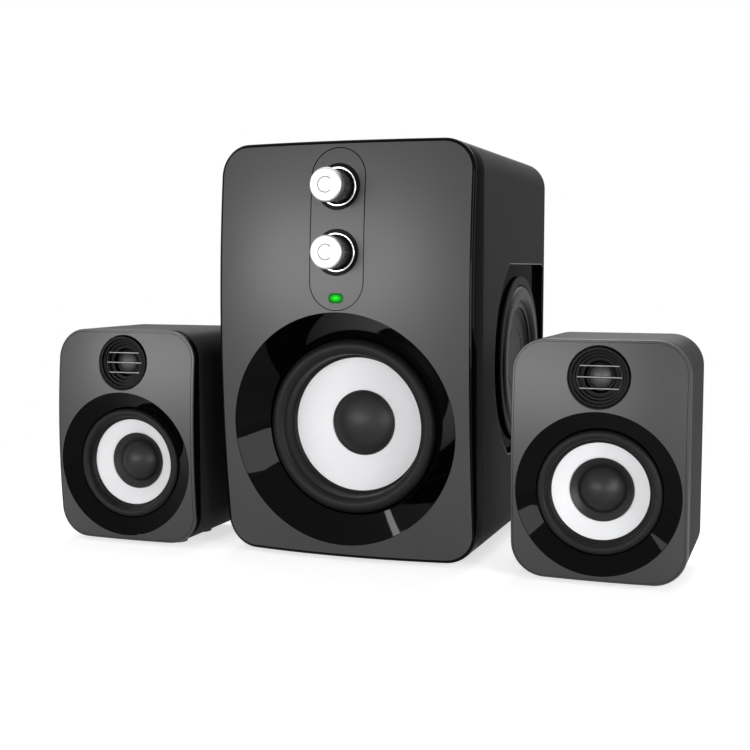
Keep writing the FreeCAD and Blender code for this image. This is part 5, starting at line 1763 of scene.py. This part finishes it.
@dataclass
class Controls(Group):
    """Knobs with their wells and bright rings, and the power light."""

    pillow: Pillow
    knobs: tuple[tuple[str, float, Body], ...] = (
        ("volume", 186.3, Body.VOLUME), ("bass", 154.2, Body.BASS))
    reach: float = 13.5
    cap: Pair = (8.3, 4.6)
    grip: float = 7.5
    bore: Pair = (3.1, 8.3)
    ring: Triple = (9.7, 1.2, 0.8)
    well: float = 11.5
    well_floor: float = 1.5
    hole: float = 3.5
    seat: float = 3.0
    clearance: float = 0.5
    lens_steps: Pair = (0.7, 0.8)
    engraving: Triple = (3.4, 0.7, 0.3)
    mark: float = 0.75
    ribs: int = 40
    rib: float = 0.26
    light: Triple = (131.8, 7.6, 4.6)
    proud: float = 0.4

    def build(self) -> None:
        """Make every control."""
        for name, height, body in self.knobs:
            self._knob(name, height, body)
        self._wells()
        self._rings()
        self._light()

    def _knob(self, name: str, height: float, body: Body) -> None:
        """Bright cap with an open engraved ring, and a ribbed grip.

        Args:
            name: What it sets.
            height: Height of its axis.
            body: Body that it rides on.
        """
        back = self.pillow.depth(0, height) + self.seat - self.clearance
        front = -self.reach
        radius, width, deep = self.engraving
        cap, long = self.cap
        grip, bore, root = self.grip, self.bore[0], back - self.bore[1]
        base, turns = front + long, self.ribs * 4
        shape = Shape()
        shape.lathe([
            (0, front), (radius, front, 0.08), (radius + 0.06, front + deep, 0.05),
            (radius + width - 0.06, front + deep, 0.05), (radius + width, front, 0.08),
            (cap, front, 1.1), (cap, base, 0.35), (grip - 0.6, base), (0, base),
        ], (0.0, height), turns)
        for vert in shape.bm.verts:
            across, up, away = about(vert.co, height)
            if (away < radius + width + 0.1 and NEAR < vert.co.y - front < 2
                    and abs(math.atan2(up, across)) < self.mark):
                vert.co.y = front
        for made in shape.bm.faces:
            middle = made.calc_center_median()
            away = about(middle, height)[2]
            if -0.02 < away - radius < width + 0.02 and 0.1 < middle.y - front < 1:
                made.material_index = 2
        shape.lathe([(0, base), (grip, base), (grip, back - 0.4), (grip - 0.4, back), (bore, back),
                     (bore, root), (0, root)], (0.0, height), turns, 1)
        for vert in shape.bm.verts:
            across, up, away = about(vert.co, height)
            if abs(away - grip) < 0.05 and vert.co.y > base - 0.05:
                turn = round(math.atan2(up, across) / math.tau * turns) % 4
                share = 1 - (self.rib if turn in (2, 3) else 0.0) / grip
                vert.co.x, vert.co.z = across * share, height + up * share
        metal = TurnedMetal(name + "_cap_metal", self.place.point(0, 0, height), (0.5, 0.5, 0.505), 0.38)
        self.add(shape, name + "_knob", "knob", metal, GRIP, INK, body=body)

    def _wells(self) -> None:
        """Black wells flush with the curved face."""
        shape, outer, hole = Shape(), self.ring[0] + 0.05, self.hole
        for _, height, _ in self.knobs:
            face = self.pillow.depth(0, height)
            top, seat, back = face + 0.02, face + self.seat, face + self.seat + self.well_floor
            part = Shape()
            part.lathe([(self.well, top, 0.25), (self.well, back), (hole, back), (hole, seat),
                        (outer, seat), (outer, top, 0.3)], (0.0, height))
            for vert in part.bm.verts:
                if vert.co.y < face + 1:
                    vert.co.y += self.pillow.depth(vert.co.x, vert.co.z) - face
            shape.absorb(part.bm)
        self.add(shape, "knob_wells", "well", WELL)

    def _rings(self) -> None:
        """Bright rings that stand in the wells."""
        outer, width, proud = self.ring
        shape = Shape()
        for _, height, _ in self.knobs:
            face = self.pillow.depth(0, height)
            seat, top = face + self.seat, face - proud
            shape.lathe([(outer, seat), (outer - width, seat), (outer - width, top, 0.4),
                         (outer, top, 0.4)], (0.0, height))
        metal = TurnedMetal("ring_metal", self.place.point(0, 0, self.knobs[0][1]), roughness=0.1)
        self.add(shape, "knob_rings", "bright_ring", metal)

    def _light(self) -> None:
        """Oval lens with a crowned front and its light guide."""
        height, width, tall = self.light
        depth = self.pillow.depth(0, height) + 0.3
        shape = Shape()
        lens = shape.outline((width, tall), tall * 0.45, depth, height, 12)
        border = lens.edges[:]
        shape.lip(lens, self.lens_steps[0], 0.3 + self.proud * 0.7, 4, True)
        shape.step_in(lens, self.lens_steps[1], -self.proud * 0.3)
        end = shape.extrude(border, (0, self.place.box("power_light")[1].y - depth, 0))
        bmesh.ops.contextual_create(shape.bm, geom=end)
        face_outwards(shape.bm)
        glow = LightLens("light_lens", self.place.point(0, 0, height), (width / 2 * MM, tall / 2 * MM))
        self.add(shape, "power_light", "light", glow)


# ---------------------------------------------------------------- kept CAD nodes

@dataclass
class KeptNodes:
    """Finishes for the CAD nodes that are shown as they are."""

    finishes: tuple[tuple[Finish, str], ...] = (
        (BASKET, "woofer_basket left_basket right_basket"), (FERRITE, "woofer_magnet"),
        (STEEL, "left_magnet right_magnet woofer_yoke woofer_basket_screws potentiometers"),
        (COPPER, "woofer_voice_coil left_voice_coil right_voice_coil"),
        (BRASS, "volume_shaft bass_shaft"), (BOARD, "control_board amplifier_board"),
        (ALUMINIUM, "heat_sink"), (SOCKET, "audio_sockets power_inlet left_socket right_socket"),
    )

    def dress(self) -> None:
        """Give each node its finish, and report any that has none."""
        known = {name: finish for finish, names in self.finishes for name in names.split()}
        for name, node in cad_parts.items():
            if node.hide_render:
                continue
            if name not in known:
                log.warning("%s has no finish of its own", name)
            finish = known.get(name, CASE)
            node.data.materials.clear()
            node.data.materials.append(finish.material())
            log.info("%s: kept, %s", name, finish.name)


# ---------------------------------------------------------------- studio

@dataclass(frozen=True)
class Softbox:
    """A rectangular studio lamp."""

    name: str
    aim: Triple
    direction: Triple
    distance: float
    size: Pair
    radiance: float

    def build(self) -> None:
        """Hang the lamp and turn it to its aim."""
        data = bpy.data.lights.new(self.name, "AREA")
        data.shape = "RECTANGLE"
        data.size, data.size_y = self.size
        data.energy = self.radiance * math.pi * self.size[0] * self.size[1]
        lamp = hang(self.name, data)
        towards = Vector(self.direction).normalized()
        lamp.location = Vector(self.aim) + towards * self.distance
        lamp.rotation_euler = towards.to_track_quat("Z", "Y").to_euler()
        lamp.visible_camera = False


@dataclass
class Studio:
    """Camera, lamps, white surroundings and floor."""

    camera_place: Triple = (0.2202, -0.6339, 0.148)
    camera_turn: Triple = (90 - 4.96, 0.0, 19.9)
    lens: float = 58.52
    ambient: float = 0.2
    floor_size: float = 6.0
    floor_colour: float = 0.8
    floor_glow: float = 0.66
    lamps: tuple[Softbox, ...] = (
        Softbox("key", (0, -0.07, 0.11), (-0.37, -0.925, 0.105), 1.35, (1.15, 0.3), 8.8),
        Softbox("side_strip", (-0.046, -0.057, 0.056), (0.833, -0.531, 0.156), 0.85, (0.18, 0.42), 10.4),
        Softbox("low_strip", (0.1, -0.07, 0.022), (0.526, -0.842, 0.122), 0.85, (0.2, 0.2), 10.0),
        Softbox("back_fill", (0, 0.08, 0.1), (0.1, 0.74, 0.66), 1.6, (1.6, 0.8), 3.0),
        Softbox("thin_strip", (0.025, -0.064, 0.02), (-0.76, -0.2, 0.62), 0.9, (0.03, 0.22), 24.0),
        Softbox("top", (0, 0.02, 0.2), (-0.1, 0.35, 0.93), 1.4, (1.1, 0.7), 2.6),
    )

    def build(self) -> None:
        """Place the camera, hang the lamps, and make the surroundings and the floor."""
        self._camera()
        bpy.context.scene.view_settings.view_transform = "Standard"
        for lamp in self.lamps:
            lamp.build()
        self._world()
        self._floor()

    def _camera(self) -> None:
        """Place the camera."""
        data = bpy.data.cameras.new("camera")
        data.lens = self.lens
        data.sensor_width = 36.0
        bpy.context.scene.camera = made = hang("camera", data)
        made.location = self.camera_place
        made.rotation_euler = tuple(math.radians(angle) for angle in self.camera_turn)

    def _world(self) -> None:
        """White where it is seen or mirrored, dimmer as soft light."""
        world = bpy.data.worlds.new("surroundings")
        world.use_nodes = True
        bpy.context.scene.world = world
        graph = Graph(world.node_tree)
        soft, white = (graph.plain("ShaderNodeBackground", 1.0, value) for value in (self.ambient, 1.0))
        graph.output(graph.mix(graph.seen(), soft, white), "ShaderNodeOutputWorld")

    def _floor(self) -> None:
        """White floor that keeps a soft contact shadow and turns plain white further out."""
        bm = bmesh.new()
        bmesh.ops.create_grid(bm, x_segments=8, y_segments=8, size=self.floor_size)
        mesh = bpy.data.meshes.new("floor")
        bm.to_mesh(mesh)
        bm.free()
        floor = hang("floor", mesh)
        material = bpy.data.materials.new("floor_white")
        material.use_nodes = True
        graph = Graph(material.node_tree)
        across, back, _ = graph.axes(graph.position(stretch=(1.0, 1.3, 1.0)))
        far = across.reach(back).step(0.24, 0.5)
        paint = graph.plain("ShaderNodeBsdfDiffuse", self.floor_colour)
        glow, white = (graph.plain("ShaderNodeEmission", 1.0, value) for value in (self.floor_glow, 1.0))
        near = graph.node("ShaderNodeAddShader", None, {0: paint, 1: glow})
        graph.output(graph.mix(graph.seen(), paint, graph.mix(far, near, white)))
        mesh.materials.append(material)


# ---------------------------------------------------------------- speakers

@dataclass
class Speaker:
    """One cabinet with all its pieces."""

    name: str
    body: Body
    driver: Body

    def place(self) -> Place:
        """Where the cabinet stands."""
        return Place.of(self.name + "_case", self.name + "_front")

    def finish_back(self, place: Place, cabinet: Cabinet, holes: tuple[Triple, ...]) -> None:
        """Rear panel, screws and feet.

        Args:
            place: Where the cabinet stands.
            cabinet: Its sizes.
            holes: Across, up and radius of each hole in the panel.
        """
        RearPanel(place, self.body, self.name + "_rear", cabinet, holes).build()
        RearScrews(place, self.body, self.name + "_rear_screws").build()
        Feet(place, self.body, self.name + "_feet").build()


@dataclass
class SubwooferSpeaker(Speaker):
    """The subwoofer; its holes are given as across, up and radius."""

    radiator: Body = Body.RADIATOR
    holes: tuple[Triple, ...] = ((-22, 62, 3.4), (0, 62, 3.4), (22, 62, 3.4), (0, 34, 5.0))

    def build(self) -> None:
        """Make the subwoofer."""
        at = (self.place(), self.body)
        SubwooferFront(*at, self.name, SUBWOOFER, WOOFER.bowl).build()
        SubwooferCase(*at, self.name + "_case", "subwoofer_case", SUBWOOFER).build()
        self.finish_back(at[0], SUBWOOFER, self.holes)
        WooferPieces(*at, self.driver, "woofer", WOOFER).build()
        SideRadiator(*at, self.radiator).build()
        Controls(*at, SUBWOOFER.pillow).build()


@dataclass
class SatelliteSpeaker(Speaker):
    """One satellite; its hole is given as across, up and radius."""

    tweeter: Body
    holes: tuple[Triple, ...] = ((0, 24, 3.4),)

    def build(self) -> None:
        """Make the satellite."""
        at = (self.place(), self.body)
        SatelliteFront(*at, self.name, SATELLITE, MIDRANGE.bowl).build()
        Case(*at, self.name + "_case", "satellite_case", SATELLITE).build()
        self.finish_back(at[0], SATELLITE, self.holes)
        DriverPieces(*at, self.driver, self.name, MIDRANGE).build()
        Tweeter(*at, self.tweeter, self.name).build()


def main() -> None:
    """Build the studio and the speakers."""
    logging.basicConfig(level=logging.INFO, format="%(name)s: %(message)s")
    Studio().build()
    SubwooferSpeaker("subwoofer", Body.SUBWOOFER, Body.WOOFER).build()
    SatelliteSpeaker("left", Body.LEFT, Body.LEFT_DRIVER, Body.LEFT_TWEETER).build()
    SatelliteSpeaker("right", Body.RIGHT, Body.RIGHT_DRIVER, Body.RIGHT_TWEETER).build()
    KeptNodes().dress()


if __name__ == "__main__":
    main()
